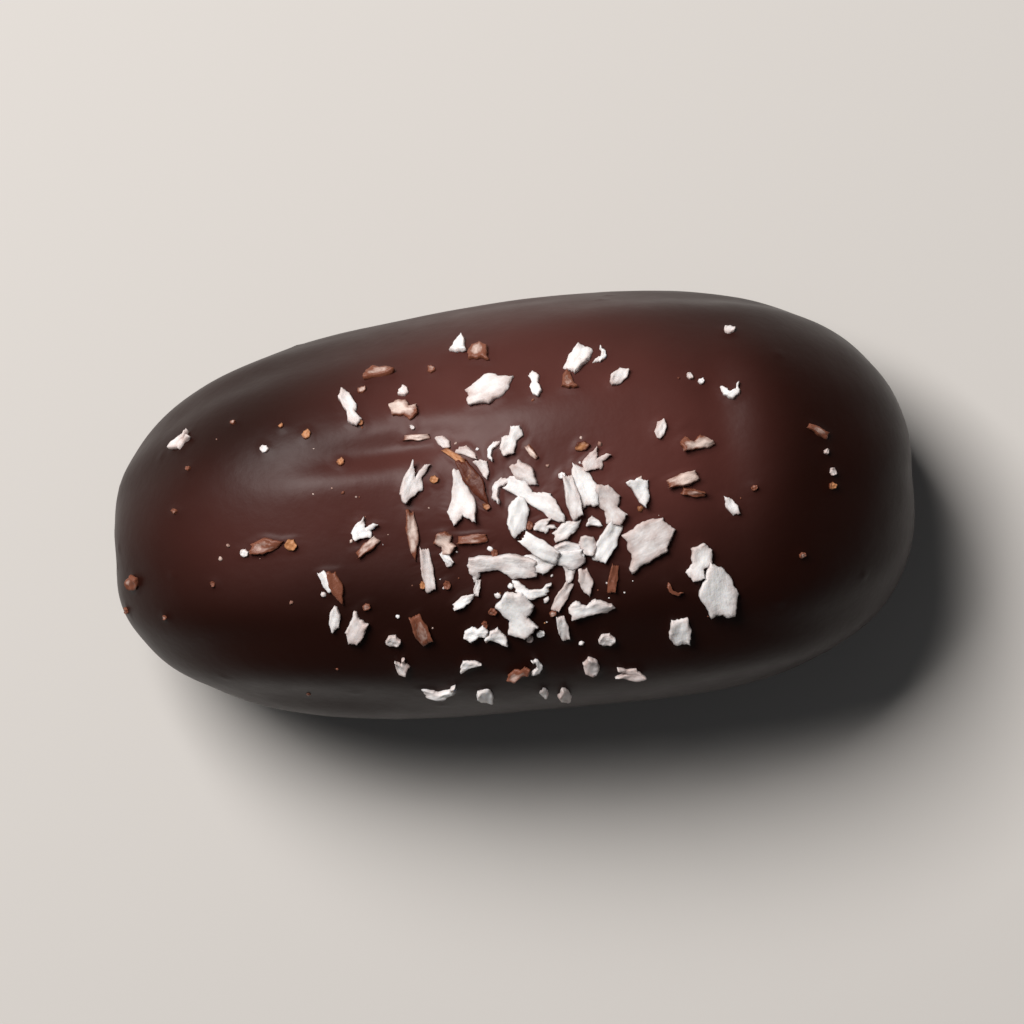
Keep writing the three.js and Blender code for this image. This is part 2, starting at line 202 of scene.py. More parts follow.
def directions_at(climb, headings):
    """Directions all round at a share of the way from the tray (0) to the widest outline (1) and top (2)."""
    flat = np.stack([np.cos(headings), np.sin(headings)], axis=1)
    flat /= outline_share(*flat.T)[:, None]
    low = AXIS_HEIGHT / UNDER_DEPTH
    if climb < 1:
        reach = (1 - (low * (1 - climb)) ** DOME_POWER) ** (1 / DOME_POWER)
        rise = -low * (1 - climb)
    else:
        reach = math.cos((climb - 1) * math.pi / 2)
        rise = math.sin((climb - 1) * math.pi / 2)
    return np.column_stack([flat * reach, np.full(len(headings), rise)])


top = coat_points([[0, 0, 1]])[0]
print("top of the bare coat, mm:", top.round(2))

# %% [markdown]
# ## The coat as a fine mesh
#
# Rings of points run round the piece from the tray to the top, close together at the thin foot and
# wider apart above it. The flat underside gets a few rings of its own, so that it is an even mesh
# and not one fan of long slivers. With a point every 0.3 mm the sheen on the coat stays smooth.

# %% Build the bare coat
COLUMNS = 420
UNDER_SHARES = [0.2, 0.45, 0.68, 0.85, 0.95]  # rings inside the flat underside
FOOT_RINGS = 18
SIDE_RINGS = 46
DOME_RINGS = 104


def mesh_object(name, points, faces):
    """A smooth-shaded object at the origin from points in metres and lists of point numbers."""
    mesh = bpy.data.meshes.new(name)
    mesh.from_pydata([tuple(point) for point in points], [], faces)
    mesh.polygons.foreach_set("use_smooth", [True] * len(mesh.polygons))
    mesh.update()
    piece = bpy.data.objects.new(name, mesh)
    bpy.context.scene.collection.objects.link(piece)
    return piece


def ring_faces(ring_count, columns):
    """Faces between two middle points, which come first and last, and the rings between them."""
    faces = []
    last = 1 + ring_count * columns
    for column in range(columns):
        after = (column + 1) % columns
        faces.append((0, 1 + after, 1 + column))
        for ring in range(ring_count - 1):
            low, high = 1 + ring * columns, 1 + (ring + 1) * columns
            faces.append((low + column, low + after, high + after, high + column))
        crown = last - columns
        faces.append((crown + column, crown + after, last))
    return faces


def coat_rings():
    """Rings of the coat from the middle of its underside to the top, in millimetres."""
    headings = np.linspace(0, 2 * np.pi, COLUMNS, endpoint=False)
    foot_share = (FOOT_LEVEL + 2 * FOOT_HEIGHT) / AXIS_HEIGHT
    climbs = [foot_share * i / FOOT_RINGS for i in range(FOOT_RINGS)]
    climbs += [foot_share + (1 - foot_share) * i / SIDE_RINGS for i in range(SIDE_RINGS)]
    climbs += [1 + i / DOME_RINGS for i in range(DOME_RINGS)]
    rings = [coat_points(directions_at(climb, headings)) for climb in climbs]
    rings[0][:, 2] = 0
    return [rings[0] * share for share in UNDER_SHARES] + rings


rings = coat_rings()
coat_mm = np.vstack([[[0, 0, 0]], *rings, [top]])
bare_coat = mesh_object("bare_coat", coat_mm * MM, ring_faces(len(rings), COLUMNS))
print(f"bare coat: {len(bare_coat.data.polygons)} faces, {coat_mm[:, 2].max():.2f} mm high")

# %% [markdown]
# ## Where the coconut lies
#
# Shredding tears coconut in a few typical ways: pointed shards, straight sticks, forks, crescents.
# Eleven outlines stand for them, each drawn one long and one wide. The flakes that stand out were
# measured one by one, and the rest are strewn by rule down the near flank and behind the heap. The
# random numbers come from a small generator with a fixed start, so the same flakes fall in the same
# places every time, and in the same places as on the solid model. A strewn flake tries five random
# places and takes the emptiest, as real flakes slide off each other.

# %% Random numbers that repeat
SEED = 2024
MULTIPLIER, INCREMENT, MODULUS = 1664525, 1013904223, 4294967296  # of a generator in common use


class Draw:
    """A linear congruential generator: each number is worked out from the one before."""

    def __init__(self, seed):
        self.state = seed

    def one(self):
        """The next number, from 0 to 1."""
        self.state = (self.state * MULTIPLIER + INCREMENT) % MODULUS
        return self.state / MODULUS

    def between(self, low, high):
        """A number from low to high."""
        return low + (high - low) * self.one()

    def bell(self):
        """A number between -3 and 3 that is mostly near 0."""
        return (self.one() + self.one() + self.one() - 1.5) * 2


draw = Draw(SEED)
print("a first throw:", round(Draw(SEED).one(), 4))

# %% Outlines of the flakes, anticlockwise
SHAPES = {
    "shard": [(-0.5, -0.28), (-0.15, -0.5), (0.2, -0.36), (0.5, 0.05), (0, 0.5), (-0.45, 0.3)],
    "stick": [(-0.5, -0.3), (-0.05, -0.5), (0.5, -0.35), (0.46, 0.35), (0, 0.5), (-0.44, 0.4)],
    "torn": [
        (-0.5, 0.1), (-0.3, -0.42), (0.05, -0.28), (0.3, -0.5), (0.5, -0.15),
        (0.4, 0.32), (0.14, 0.18), (0, 0.5), (-0.36, 0.4)],
    "lump": [(-0.5, -0.08), (-0.25, -0.46), (0.2, -0.5), (0.5, -0.1), (0.3, 0.4), (-0.2, 0.5)],
    "wedge": [(-0.5, -0.5), (0.5, -0.3), (0.3, 0.1), (-0.2, 0.5), (-0.42, 0.1)],
    "crescent": [
        (-0.5, 0.5), (-0.4, -0.1), (0, -0.5), (0.4, -0.2), (0.5, 0.45), (0.22, 0.05), (-0.05, -0.02),
        (-0.3, 0.4)],
    "fork": [
        (-0.5, 0.15), (-0.12, -0.5), (0.15, -0.3), (0.5, -0.5), (0.46, -0.26),
        (0.12, 0), (0.5, 0.3), (0.1, 0.46), (-0.32, 0.5)],
    "saddle": [
        (-0.5, -0.3), (0.05, -0.38), (0.3, -0.5), (0.5, -0.32), (0.37, 0),
        (0.13, 0.4), (-0.11, 0.1), (-0.3, 0.5), (-0.46, 0.3)],
    "chip": [
        (0.5, -0.04), (0.41, 0.34), (0.08, 0.5), (-0.34, 0.46), (-0.37, -0.1),
        (-0.5, -0.45), (-0.25, -0.37), (0.2, -0.4), (0.33, -0.2)],
    "fish": [
        (-0.5, -0.06), (-0.05, -0.26), (0.22, -0.5), (0.5, -0.34), (0.33, 0.02),
        (0.5, 0.42), (0.14, 0.5), (-0.2, 0.24), (-0.46, 0.14)],
    "band": [
        (-0.5, 0.42), (-0.5, 0), (-0.42, -0.5), (-0.34, -0.1), (-0.08, -0.06),
        (0.15, -0.4), (0.5, -0.3), (0.46, 0.3), (0.1, 0.5)],
}
STREWN_SHAPES = ["shard", "stick", "torn", "lump", "wedge", "crescent", "fork"]
print(len(SHAPES), "outlines")

# %% The flakes that stand out
WHITE, PINK, TAN, BROWN = "white", "pink", "tan", "brown"  # bare flesh, and more and more chocolate on it
GOLDEN, RUSSET = "golden", "russet"  # the nut's brown skin, bare and under chocolate

# x, y, length and width in millimetres, turn in degrees, outline, and what the flake looks like.
PLACED_FLAKES = [
    (1.9, 1.6, 4.4, 1.6, -34, "saddle", WHITE),
    (2.2, -2.4, 4.4, 1.6, -174, "saddle", WHITE),
    (-0.7, -2.5, 4.2, 1.8, -4, "band", WHITE),
    (12.3, -4.9, 3.9, 2.5, 97, "shard", WHITE),
    (8.4, -1.7, 3.7, 2.7, 23, "chip", WHITE),
    (-1.9, 3, 3.5, 1.1, -63, "shard", RUSSET),
    (-2.9, 2.2, 3.5, 1.9, -87, "fish", WHITE),
    (-0.1, -5.4, 3.3, 2.4, -67, "torn", WHITE),
    (-6.1, 0.1, 3.3, 0.8, -90, "shard", PINK),
    (-0.4, 8.5, 3.3, 2.2, 18, "shard", WHITE),
    (4.7, 2.1, 3.1, 1.7, 106, "shard", WHITE),
    (-9.3, 8.6, 3, 1, -70, "torn", WHITE),
    (6.2, 0.8, 2.9, 1.7, -59, "torn", WHITE),
    (5.9, -1.4, 2.9, 1.2, -120, "stick", WHITE),
    (-5.4, -2.2, 2.9, 0.8, -86, "stick", WHITE),
    (4, 1.5, 2.9, 0.9, -80, "stick", WHITE),
    (1.7, -1.3, 2.8, 1.1, -38, "stick", WHITE),
    (4.5, -5.3, 2.8, 1.3, 9, "saddle", WHITE),
    (-5.7, 3.4, 2.8, 1.4, 71, "fork", WHITE),
    (0.6, 0.6, 2.7, 1.3, -101, "lump", WHITE),
    (0.9, -4, 2.5, 1.2, -8, "crescent", WHITE),
    (11.4, -3.2, 2.5, 1.6, -104, "torn", WHITE),
    (-11.1, -2.8, 2.3, 0.9, -77, "shard", BROWN),
    (-15.1, 0.4, 2.3, 1, 7, "shard", TAN),
    (12, 3.9, 2.2, 1.1, 8, "saddle", PINK),
    (2.8, -4.5, 2.2, 0.7, -123, "stick", WHITE),
    (-10.2, -5.6, 2.2, 1.3, -119, "chip", WHITE),
    (-6.2, -6, 2.2, 1, -71, "stick", TAN),
    (0.6, 5.2, 2.1, 1.2, 64, "torn", WHITE),
    (3.5, -0.4, 2.1, 1, 27, "shard", WHITE),
    (10.8, 1.8, 2.1, 0.8, 12, "stick", PINK),
    (9.8, -7.4, 2.1, 1.4, -85, "stick", WHITE),
    (1.3, 3.1, 2.1, 1.2, -48, "shard", WHITE),
    (3.5, -1.7, 2, 1.1, -17, "lump", WHITE),
    (8.3, 1.4, 2, 1.3, -65, "wedge", WHITE),
    (-2.4, -0.5, 2, 0.6, 1, "stick", TAN),
    (-7.3, 10.7, 2, 1.1, 3, "wedge", TAN),
    (4.3, -3.8, 1.9, 0.9, -83, "shard", WHITE),
    (2.6, -6.5, 1.9, 0.7, -82, "stick", WHITE),
    (6, -3.7, 1.9, 0.6, -103, "stick", BROWN),
    (-5.9, 8.1, 1.9, 1.3, -16, "torn", PINK),
    (-3, 4.8, 1.8, 0.5, -38, "stick", GOLDEN),
    (-0.4, 2.4, 1.8, 0.9, -117, "crescent", WHITE),
    (-5.3, 6.4, 1.8, 0.4, -2, "stick", PINK),
    (-9, -0.4, 1.8, 0.6, 35, "stick", PINK),
    (-11.4, -4.8, 1.8, 0.7, -100, "lump", WHITE),
    (5.6, 3.4, 1.7, 1.3, 54, "fork", WHITE),
    (-3.3, -4.4, 1.7, 0.7, 28, "shard", WHITE),
    (-20.1, 7.5, 1.7, 1, 30, "fork", WHITE),
    (11.4, 1, 1.6, 0.5, -14, "stick", TAN),
    (-2.8, -6.5, 1.6, 1, 19, "torn", WHITE),
    (-2.2, 11.3, 1.6, 1.1, 94, "wedge", WHITE),
    (-0.9, 10.7, 1.6, 1.4, 90, "chip", TAN),
    (-9.1, 0.7, 1.6, 1.3, 57, "fork", WHITE),
    (19.4, 3.7, 1.6, 0.5, -30, "stick", TAN),
    (-2.1, 4.9, 1.5, 0.7, -29, "wedge", WHITE),
    (-4.1, -0.6, 1.5, 1.3, -51, "torn", PINK),
    (-1.4, -6.8, 1.5, 1.1, -29, "wedge", WHITE),
    (-11.7, -2.3, 1.5, 0.6, -65, "stick", WHITE),
    (13.7, 0, 1.5, 0.7, 117, "shard", WHITE),
    (-0.6, 4.8, 1.4, 0.6, -112, "crescent", WHITE),
    (-1.2, 3.8, 1.4, 0.8, -63, "wedge", WHITE),
    (4.7, -1.5, 1.4, 1.1, -63, "lump", WHITE),
    (2.1, -0.1, 1.3, 0.9, 24, "fork", WHITE),
    (14.4, 6.6, 1.3, 1.1, 7, "crescent", WHITE),
    (9.8, 4.9, 1.3, 0.7, 72, "lump", WHITE),
    (3.4, -3.2, 1.3, 0.8, -89, "wedge", WHITE),
    (-24, -1.5, 1.2, 0.9, 44, "lump", TAN),
]
print(len(PLACED_FLAKES), "measured flakes")

# %% Bits and crumbs too small for the solid model
SMALL_BITS = [
    (1.8, 4.4, 1.1, 0.4, -55, "stick", PINK),
    (-3.6, 5.8, 1.2, 0.6, -35, "lump", WHITE),
    (5.2, -0.1, 1, 0.7, -13, "wedge", WHITE),
    (4.9, 4.4, 0.9, 0.6, 17, "lump", GOLDEN),
    (-4.1, -1.6, 1.1, 0.5, -51, "stick", WHITE),
    (9.6, -4.7, 1.2, 0.5, -40, "crescent", BROWN),
    (5.2, -7.5, 1.1, 0.9, 11, "lump", WHITE),
    (-8, -6.6, 1, 0.8, 8, "lump", WHITE),
    (-13.6, 0.3, 0.8, 0.7, 3, "lump", GOLDEN),
    (-2.4, -3.6, 1.2, 0.4, -103, "stick", WHITE),
]

# x, y and size in millimetres.
PLACED_CRUMBS = {
    WHITE: [
        (-5.9, 9.3, 0.81), (-16.5, 0.1, 0.59), (-14.7, 6.5, 0.57), (14.7, 10, 0.74), (11.9, 7.7, 0.47),
        (12.6, 7.4, 0.44), (19.8, 2.5, 0.37), (20.1, 1.3, 0.54), (3.5, 2.8, 0.46), (0.5, -7.1, 0.49),
        (1.2, -6.8, 0.53), (-4, -1.9, 0.54), (-5.5, 7, 0.31),
    ],
    TAN: [
        (-19.6, 5.8, 0.35), (-20.7, 3.1, 0.38), (-18.7, -1.8, 0.35), (-16.5, 8.3, 0.35),
        (-22, -3.8, 0.3), (-24.7, -3.5, 0.46), (17.7, -3.3, 0.44), (15.2, 0.9, 0.4), (-8.5, 9.7, 0.6),
        (-4, 10.3, 0.58), (-4.3, -3.3, 0.58), (-1.1, -1.5, 0.51), (1.2, 0, 0.58), (-9.4, -4.2, 0.54),
        (-1.6, -5.2, 0.56), (2.1, -5.5, 0.46), (-2.2, -6, 0.49),
    ],
    GOLDEN: [
        (-12.1, 7.2, 0.64), (-10.2, 5.3, 0.6), (-13.6, 7.8, 0.35), (20, 0.5, 0.57), (-4.4, 3.5, 0.58),
        (-1.3, 1.4, 0.54), (-8.7, 7.6, 0.44), (-5.8, -3.2, 0.48),
    ],
}

print(len(SMALL_BITS), "bits and", sum(len(crumbs) for crumbs in PLACED_CRUMBS.values()), "crumbs")

# %% Groups of strewn flakes
# Count, middle x and y, spread along and across, longest, shortest, and tilt in degrees.
STREWN = [
    (10, 1, -9.9, 4.4, 1, 2.6, 1.2, 26),  # near flank
    (5, 4.6, 8.6, 1.7, 1.1, 2.4, 1.2, 18),  # behind the heap
]
STREW_LIMIT = 0.86  # no strewn flake lies further out than this share of the outline
TAN_EVERY = 9  # one strewn flake in this many is smeared with chocolate
print(sum(group[0] for group in STREWN), "strewn flakes")

# %% The whole list of flakes
SLENDERNESS = (0.34, 0.68)  # narrowest and widest strewn flake, as a share of its length
FLAKE_LEAN = 9  # usual tilt of a measured flake, in degrees
BEST_OF = 5  # random places that a strewn flake tries
LAYER_REACH = 0.35  # two flakes overlap where their middles are nearer than this share of their length
MOST_LAYERS = 2
CRUMB_WIDTH = 0.85  # width of a crumb, as a share of its length


def place_flakes():
    """Every flake as a dictionary of its place, size, turn, tilt, layer, shape and kind."""
    flakes = []

    def add(x, y, length, width, turn, tilt, shape, kind):
        """Adds a flake to the list, a layer higher for each flake that it overlaps."""
        reach = LAYER_REACH * 0.5
        under = [f for f in flakes if math.hypot(f["x"] - x, f["y"] - y) < reach * (f["length"] + length)]
        flakes.append({
            "x": x, "y": y, "length": length, "width": width, "turn": turn, "tilt": tilt,
            "layer": min(MOST_LAYERS, len(under)), "shape": shape, "kind": kind})

    for x, y, length, width, turn, shape, kind in PLACED_FLAKES:
        add(x, y, length, width, turn, FLAKE_LEAN * draw.bell(), shape, kind)
    for count, mid_x, mid_y, along, across, longest, shortest, tilt in STREWN:
        for i in range(count):
            best, room = None, -1
            for _ in range(BEST_OF):
                x, y = mid_x + along * draw.bell(), mid_y + across * draw.bell()
                free = min(math.hypot(f["x"] - x, f["y"] - y) for f in flakes)
                inside = outline_share(x / (LENGTH / 2), y / (WIDTH / 2)) < STREW_LIMIT
                if inside and free > room:
                    best, room = (x, y), free
            length = longest + (shortest - longest) * math.sqrt((i + draw.one()) / count)
            width = length * draw.between(*SLENDERNESS)
            turn = draw.between(0, 180)
            lean = draw.between(-tilt, tilt)
            if best:
                kind = TAN if len(flakes) % TAN_EVERY == 0 else WHITE
                shape = STREWN_SHAPES[len(flakes) % len(STREWN_SHAPES)]
                add(*best, length, width, turn, lean, shape, kind)
    for x, y, length, width, turn, shape, kind in SMALL_BITS:
        add(x, y, length, width, turn, FLAKE_LEAN * draw.bell(), shape, kind)
    for kind, crumbs in PLACED_CRUMBS.items():
        for x, y, size in crumbs:
            add(x, y, size, size * CRUMB_WIDTH, draw.between(0, 180), 0, "lump", kind)
    return flakes


flakes = place_flakes()
for kind in (WHITE, PINK, TAN, BROWN, GOLDEN, RUSSET):
    print(kind, "flakes:", sum(flake["kind"] == kind for flake in flakes))

# %% [markdown]
# ## Small helpers for nodes
#
# Shaders and Geometry Nodes are both trees of nodes, so one function adds a node to either kind. It
# sets the node's properties, and it sets or links the inputs. Where an input is given a whole node,
# the link comes from the first of that node's outputs that is in use. Colours are written as the hex
# values that a paint program shows, and Blender's shaders want linear ones, so one function converts
# them. A third one measures how far a place lies from the middle of a patch, which both kinds of tree
# need further down.

# %% Helpers for nodes, colours and materials


def add_node(tree, kind, inputs=None, **settings):
    """Adds a node, sets its properties, and sets each input to a value or links it to a node or socket."""
    node = tree.nodes.new(kind)
    for name, value in settings.items():
        setattr(node, name, value)
    for name, value in (inputs or {}).items():
        if isinstance(value, bpy.types.Node):
            value = next(socket for socket in value.outputs if socket.enabled)
        if isinstance(value, bpy.types.NodeSocket):
            tree.links.new(value, node.inputs[name])
        else:
            node.inputs[name].default_value = value
    return node


def linear(hex_colour):
    """An sRGB hex colour as linear red, green and blue, and full alpha."""
    shares = [int(hex_colour[i : i + 2], 16) / 255 for i in (1, 3, 5)]
    return [c / 12.92 if c <= 0.04045 else ((c + 0.055) / 1.055) ** 2.4 for c in shares] + [1]


def new_material(name):
    """An empty node material and its tree."""
    material = bpy.data.materials.new(name)
    material.use_nodes = True
    material.node_tree.nodes.clear()
    return material, material.node_tree


def patch_distance(tree, place, middle, spread):
    """How far a place lies from the middle of a patch, where 1 is the patch's rim."""
    away = add_node(tree, "ShaderNodeVectorMath", {0: place, 1: middle}, operation="SUBTRACT")
    shares = add_node(tree, "ShaderNodeVectorMath", {0: away, 1: spread}, operation="DIVIDE")
    return add_node(tree, "ShaderNodeVectorMath", {0: shares}, operation="LENGTH")


MIX_A, MIX_B = 6, 7  # the colour inputs of a Mix node
print("pure white is", linear("#ffffff"), "and mid grey is", round(linear("#808080")[0], 3))

# %% [markdown]
# ## Dark chocolate
#
# Tempered dark couverture sets with a satin skin over a deep, slightly red brown. On the crest, on the
# left lobe and beside the crease the colour is lightened to mauve. That is painted sheen: the soft
# light's broad reflection painted into the colour. Outside these patches, low on the flanks and at
# the ends, the coat stays nearly black. A hand-dipped coat is never quite even either, so noise of
# real sizes breaks up the painted sheen and the satin and adds a very fine grain.

# %% Material: hand-dipped dark couverture
CLOUD_SIZE = 8 * MM  # patches of more and less painted sheen
SATIN_SIZE = 2.6 * MM  # patches of more and less satin
GRAIN_SIZE = 0.5 * MM  # the skin's grain: really about 0.1 mm, drawn coarser so that it shows
GRAIN_DEPTH = 0.012 * MM
DIMPLE_SIZE = 1.6 * MM
DIMPLE_DEPTH = 0.02 * MM
# Painted sheen: patches where the colour is lightened to mauve to stand for the light's broad reflection.
# Middle and spread in millimetres, share of the spread within which the painted sheen is full, and strength.
PAINTED_SHEEN_PATCHES = [
    ((1.5, 6, 20), (19, 12.3, 30), 0.25, 1),  # crest
    ((-15, 1.7, 20), (13, 6.5, 30), 0, 0.65),  # left lobe
    ((11.5, 3.2, 20), (8, 10, 30), 0, 0.45),  # beside the crease
]


def dark_couverture():
    """Nearly black brown with a satin skin, lightened to mauve in the patches of painted sheen."""
    material, tree = new_material("hand_dipped_dark_couverture")
    place = add_node(tree, "ShaderNodeTexCoord").outputs["Object"]
    clouds, satin, grain, dimples = (
        add_node(tree, "ShaderNodeTexNoise", {
            "Vector": place, "Scale": 1 / size, "Detail": detail, "Roughness": fineness})
        for size, detail, fineness in (
            (CLOUD_SIZE, 3, 0.55), (SATIN_SIZE, 4, 0.6), (GRAIN_SIZE, 2, 0.5), (DIMPLE_SIZE, 1, 0.5)))
    painted_sheen = 0
    for middle, spread, full, strength in PAINTED_SHEEN_PATCHES:
        distance = patch_distance(tree, place, Vector(middle) * MM, Vector(spread) * MM)
        patch = add_node(tree, "ShaderNodeMapRange", {
            "Value": distance, "From Min": 1, "From Max": full, "To Max": strength},
            interpolation_type="SMOOTHSTEP")
        painted_sheen = add_node(tree, "ShaderNodeMath", {0: painted_sheen, 1: patch}, operation="ADD")
    evenness = add_node(tree, "ShaderNodeMapRange", {
        "Value": clouds, "From Min": 0.3, "From Max": 0.7, "To Min": 0.75, "To Max": 1})
    broken_sheen = add_node(tree, "ShaderNodeMath", {0: painted_sheen, 1: evenness}, operation="MULTIPLY")
    # The colour runs from nearly black brown to mauve where the painted sheen lies, a painted highlight of
    # the soft light.
    colour = add_node(tree, "ShaderNodeMix", {
        0: broken_sheen, MIX_A: linear("#220d08"), MIX_B: linear("#562f2a")}, data_type="RGBA")
    roughness = add_node(tree, "ShaderNodeMapRange", {
        "Value": satin, "From Min": 0.3, "From Max": 0.7, "To Min": 0.38, "To Max": 0.45})
    dimpled = add_node(tree, "ShaderNodeBump", {
        "Height": dimples, "Strength": 1, "Distance": DIMPLE_DEPTH})
    grained = add_node(tree, "ShaderNodeBump", {
        "Height": grain, "Strength": 1, "Distance": GRAIN_DEPTH, "Normal": dimpled})
    skin = add_node(tree, "ShaderNodeBsdfPrincipled", {
        "Base Color": colour, "Roughness": roughness, "IOR": 1.45, "Specular IOR Level": 0.18,
        "Normal": grained})
    add_node(tree, "ShaderNodeOutputMaterial", {"Surface": skin})
    return material


couverture = dark_couverture()
print("material", couverture.name, "with", len(couverture.node_tree.nodes), "nodes")

# %% [markdown]
# ## Coconut
#
# Desiccated coconut is the white flesh, shredded and dried. It is matt, bright and a little
# translucent, so light spreads inside it and its shaded edges stay soft and grey. Short fibres run
# along each shred. Melted chocolate creeps over a flake from its rim, so a smeared flake is often
# white in the middle and brown round it. The flakes carry attributes for all of that: grain is their
# own place before they were laid on the date, so that the fibres run along each flake whatever way it
# lies, edge is 1 at the rim and 0 inside, and tone says how dark the whole flake is.

# %% Materials: coconut flesh, smeared flesh and brown skin
FIBRE_SPACING = 0.22 * MM
FIBRE_LENGTH = 1.3 * MM
FIBRE_DEPTH = 0.035 * MM
PIT_SIZE = 0.35 * MM
PIT_DEPTH = 0.05 * MM
FLESH_DEPTH = 0.3 * MM  # how far light spreads in the flesh
PATCH_SIZE = 0.9 * MM  # patches of a flake that are thinner, or more smeared, than the rest
PATCH_LENGTH = 1.5 * MM
TONE_REACH = 0.45  # how much the palest and the darkest flake differ, in the same measure as the patches
CREEP_REACH = 0.25  # how much darker the rim is than the middle, in the same measure


def fibre_bump(tree, grain):
    """The normal of a surface with fine fibres along each flake and small pits between them."""
    stretched = add_node(tree, "ShaderNodeMapping", {
        "Vector": grain, "Scale": (1 / FIBRE_LENGTH, 1 / FIBRE_SPACING, 1 / FIBRE_SPACING)})
    fibres = add_node(tree, "ShaderNodeTexNoise", {
        "Vector": stretched, "Scale": 1, "Detail": 3, "Roughness": 0.6})
    pits = add_node(tree, "ShaderNodeTexNoise", {"Vector": grain, "Scale": 1 / PIT_SIZE, "Detail": 2})
    pitted = add_node(tree, "ShaderNodeBump", {"Height": pits, "Strength": 1, "Distance": PIT_DEPTH})
    return add_node(tree, "ShaderNodeBump", {
        "Height": fibres, "Strength": 1, "Distance": FIBRE_DEPTH, "Normal": pitted})


def coconut_material(name, pale, dark, low, high, roughness, spread):
    """Dried coconut that turns from pale to dark where patches, tone and edge pass from low to high."""
    material, tree = new_material(name)
    grain, tone, edge = (
        add_node(tree, "ShaderNodeAttribute", attribute_name=name).outputs[output]
        for name, output in (("grain", "Vector"), ("tone", "Fac"), ("edge", "Fac")))
    stretched = add_node(tree, "ShaderNodeMapping", {
        "Vector": grain, "Scale": (1 / PATCH_LENGTH, 1 / PATCH_SIZE, 1 / PATCH_SIZE)})
    patches = add_node(tree, "ShaderNodeTexNoise", {
        "Vector": stretched, "Scale": 1, "Detail": 3, "Roughness": 0.65})
    toned = add_node(tree, "ShaderNodeMath", {0: tone, 1: TONE_REACH, 2: patches}, operation="MULTIPLY_ADD")
    depth = add_node(tree, "ShaderNodeMath", {0: edge, 1: CREEP_REACH, 2: toned}, operation="MULTIPLY_ADD")
    share = add_node(tree, "ShaderNodeMapRange", {"Value": depth, "From Min": low, "From Max": high})
    colour = add_node(tree, "ShaderNodeMix", {
        0: share, MIX_A: linear(pale), MIX_B: linear(dark)}, data_type="RGBA")
    flesh = add_node(tree, "ShaderNodeBsdfPrincipled", {
        "Base Color": colour, "Roughness": roughness, "IOR": 1.4, "Subsurface Weight": spread,
        "Subsurface Radius": (1, 0.9, 0.8), "Subsurface Scale": FLESH_DEPTH,
        "Normal": fibre_bump(tree, grain)})
    add_node(tree, "ShaderNodeOutputMaterial", {"Surface": flesh})
    return material


# White flesh: matt, with light spreading inside, and faintly pink where chocolate shows through it.
flesh = coconut_material("desiccated_coconut_flesh", "#f6f5f5", "#c5b2ad", 0.55, 1.1, 0.6, 0.3)
# Flesh under a thin film of chocolate: pinkish where the film is thin, terracotta where it is thick.
smeared = coconut_material("chocolate_smeared_coconut", "#dfcac0", "#7c4a37", 0.5, 0.8, 0.45, 0.1)
# The nut's papery brown skin: golden where thin, red-brown where chocolate clings to it.
skin = coconut_material("coconut_testa", "#bc8258", "#5a2a1a", 0.55, 0.85, 0.5, 0.1)
print("materials", flesh.name, smeared.name, skin.name)

# %% [markdown]
# ## The shape of a flake
#
# Shredding tears the flesh, so a flake is a thin flat chip with a ragged rim, a little curled from
# drying. Each outline gets its sides broken three times over, each time into shorter notches, which is
# how a fractal coastline is drawn. Some outlines are forked or hollow on one side, so rings round a
# middle would cross. A Delaunay triangulation fills any outline instead: it takes the rim, a second
# rim just inside it for a crisp softened edge, and a loose grid of points that can curl.

# %% Tear a rim and fill it, for a flake of unit length and width
SHAPE_SEED = 42
TEARS = (0.09, 0.14, 0.17)  # depth of each break, as a share of the stretch of rim that it breaks
EDGE_WIDTH = 0.035  # width of the softened edge
EDGE_CLEAR = 0.7  # the second rim keeps the points that lie at least this share of that width inside
GRID_CLEAR = 2  # the grid keeps those that lie this many widths inside
GRID_REACH = 0.6  # half the width of the grid
GRID_SPACING = 0.09
GRID_JITTER = 0.025
INSIDE_RIM = 1  # the kind of triangulation that keeps only what the rim encloses
MERGE_DISTANCE = 1e-6

shape_draw = Draw(SHAPE_SEED)


def torn_rim(corners):
    """The outline with each side broken at its middle, three times over."""
    rim = [np.array(corner, float) for corner in corners]
    for depth in TEARS:
        broken = []
        for start, end in zip(rim, rim[1:] + rim[:1]):
            side = end - start
            across = np.array([side[1], -side[0]])
            broken += [start, (start + end) / 2 + across * shape_draw.between(-depth, depth)]
        rim = broken
    return np.array(rim)


def depth_inside(points, rim):
    """How far inside the rim each point lies. Outside it the depth is negative."""
    side = np.roll(rim, -1, axis=0) - rim
    offset = points[:, None] - rim
    share = np.clip((offset * side).sum(axis=2) / (side**2).sum(axis=1), 0, 1)
    gap = np.linalg.norm(offset - share[..., None] * side, axis=2).min(axis=1)
    passes = (offset[..., 1] < 0) != (offset[..., 1] < side[:, 1])
    left = offset[..., 0] * side[:, 1] < offset[..., 1] * side[:, 0]
    crossings = (passes & (left == (side[:, 1] > 0))).sum(axis=1)
    return np.where(crossings % 2 == 1, gap, -gap)


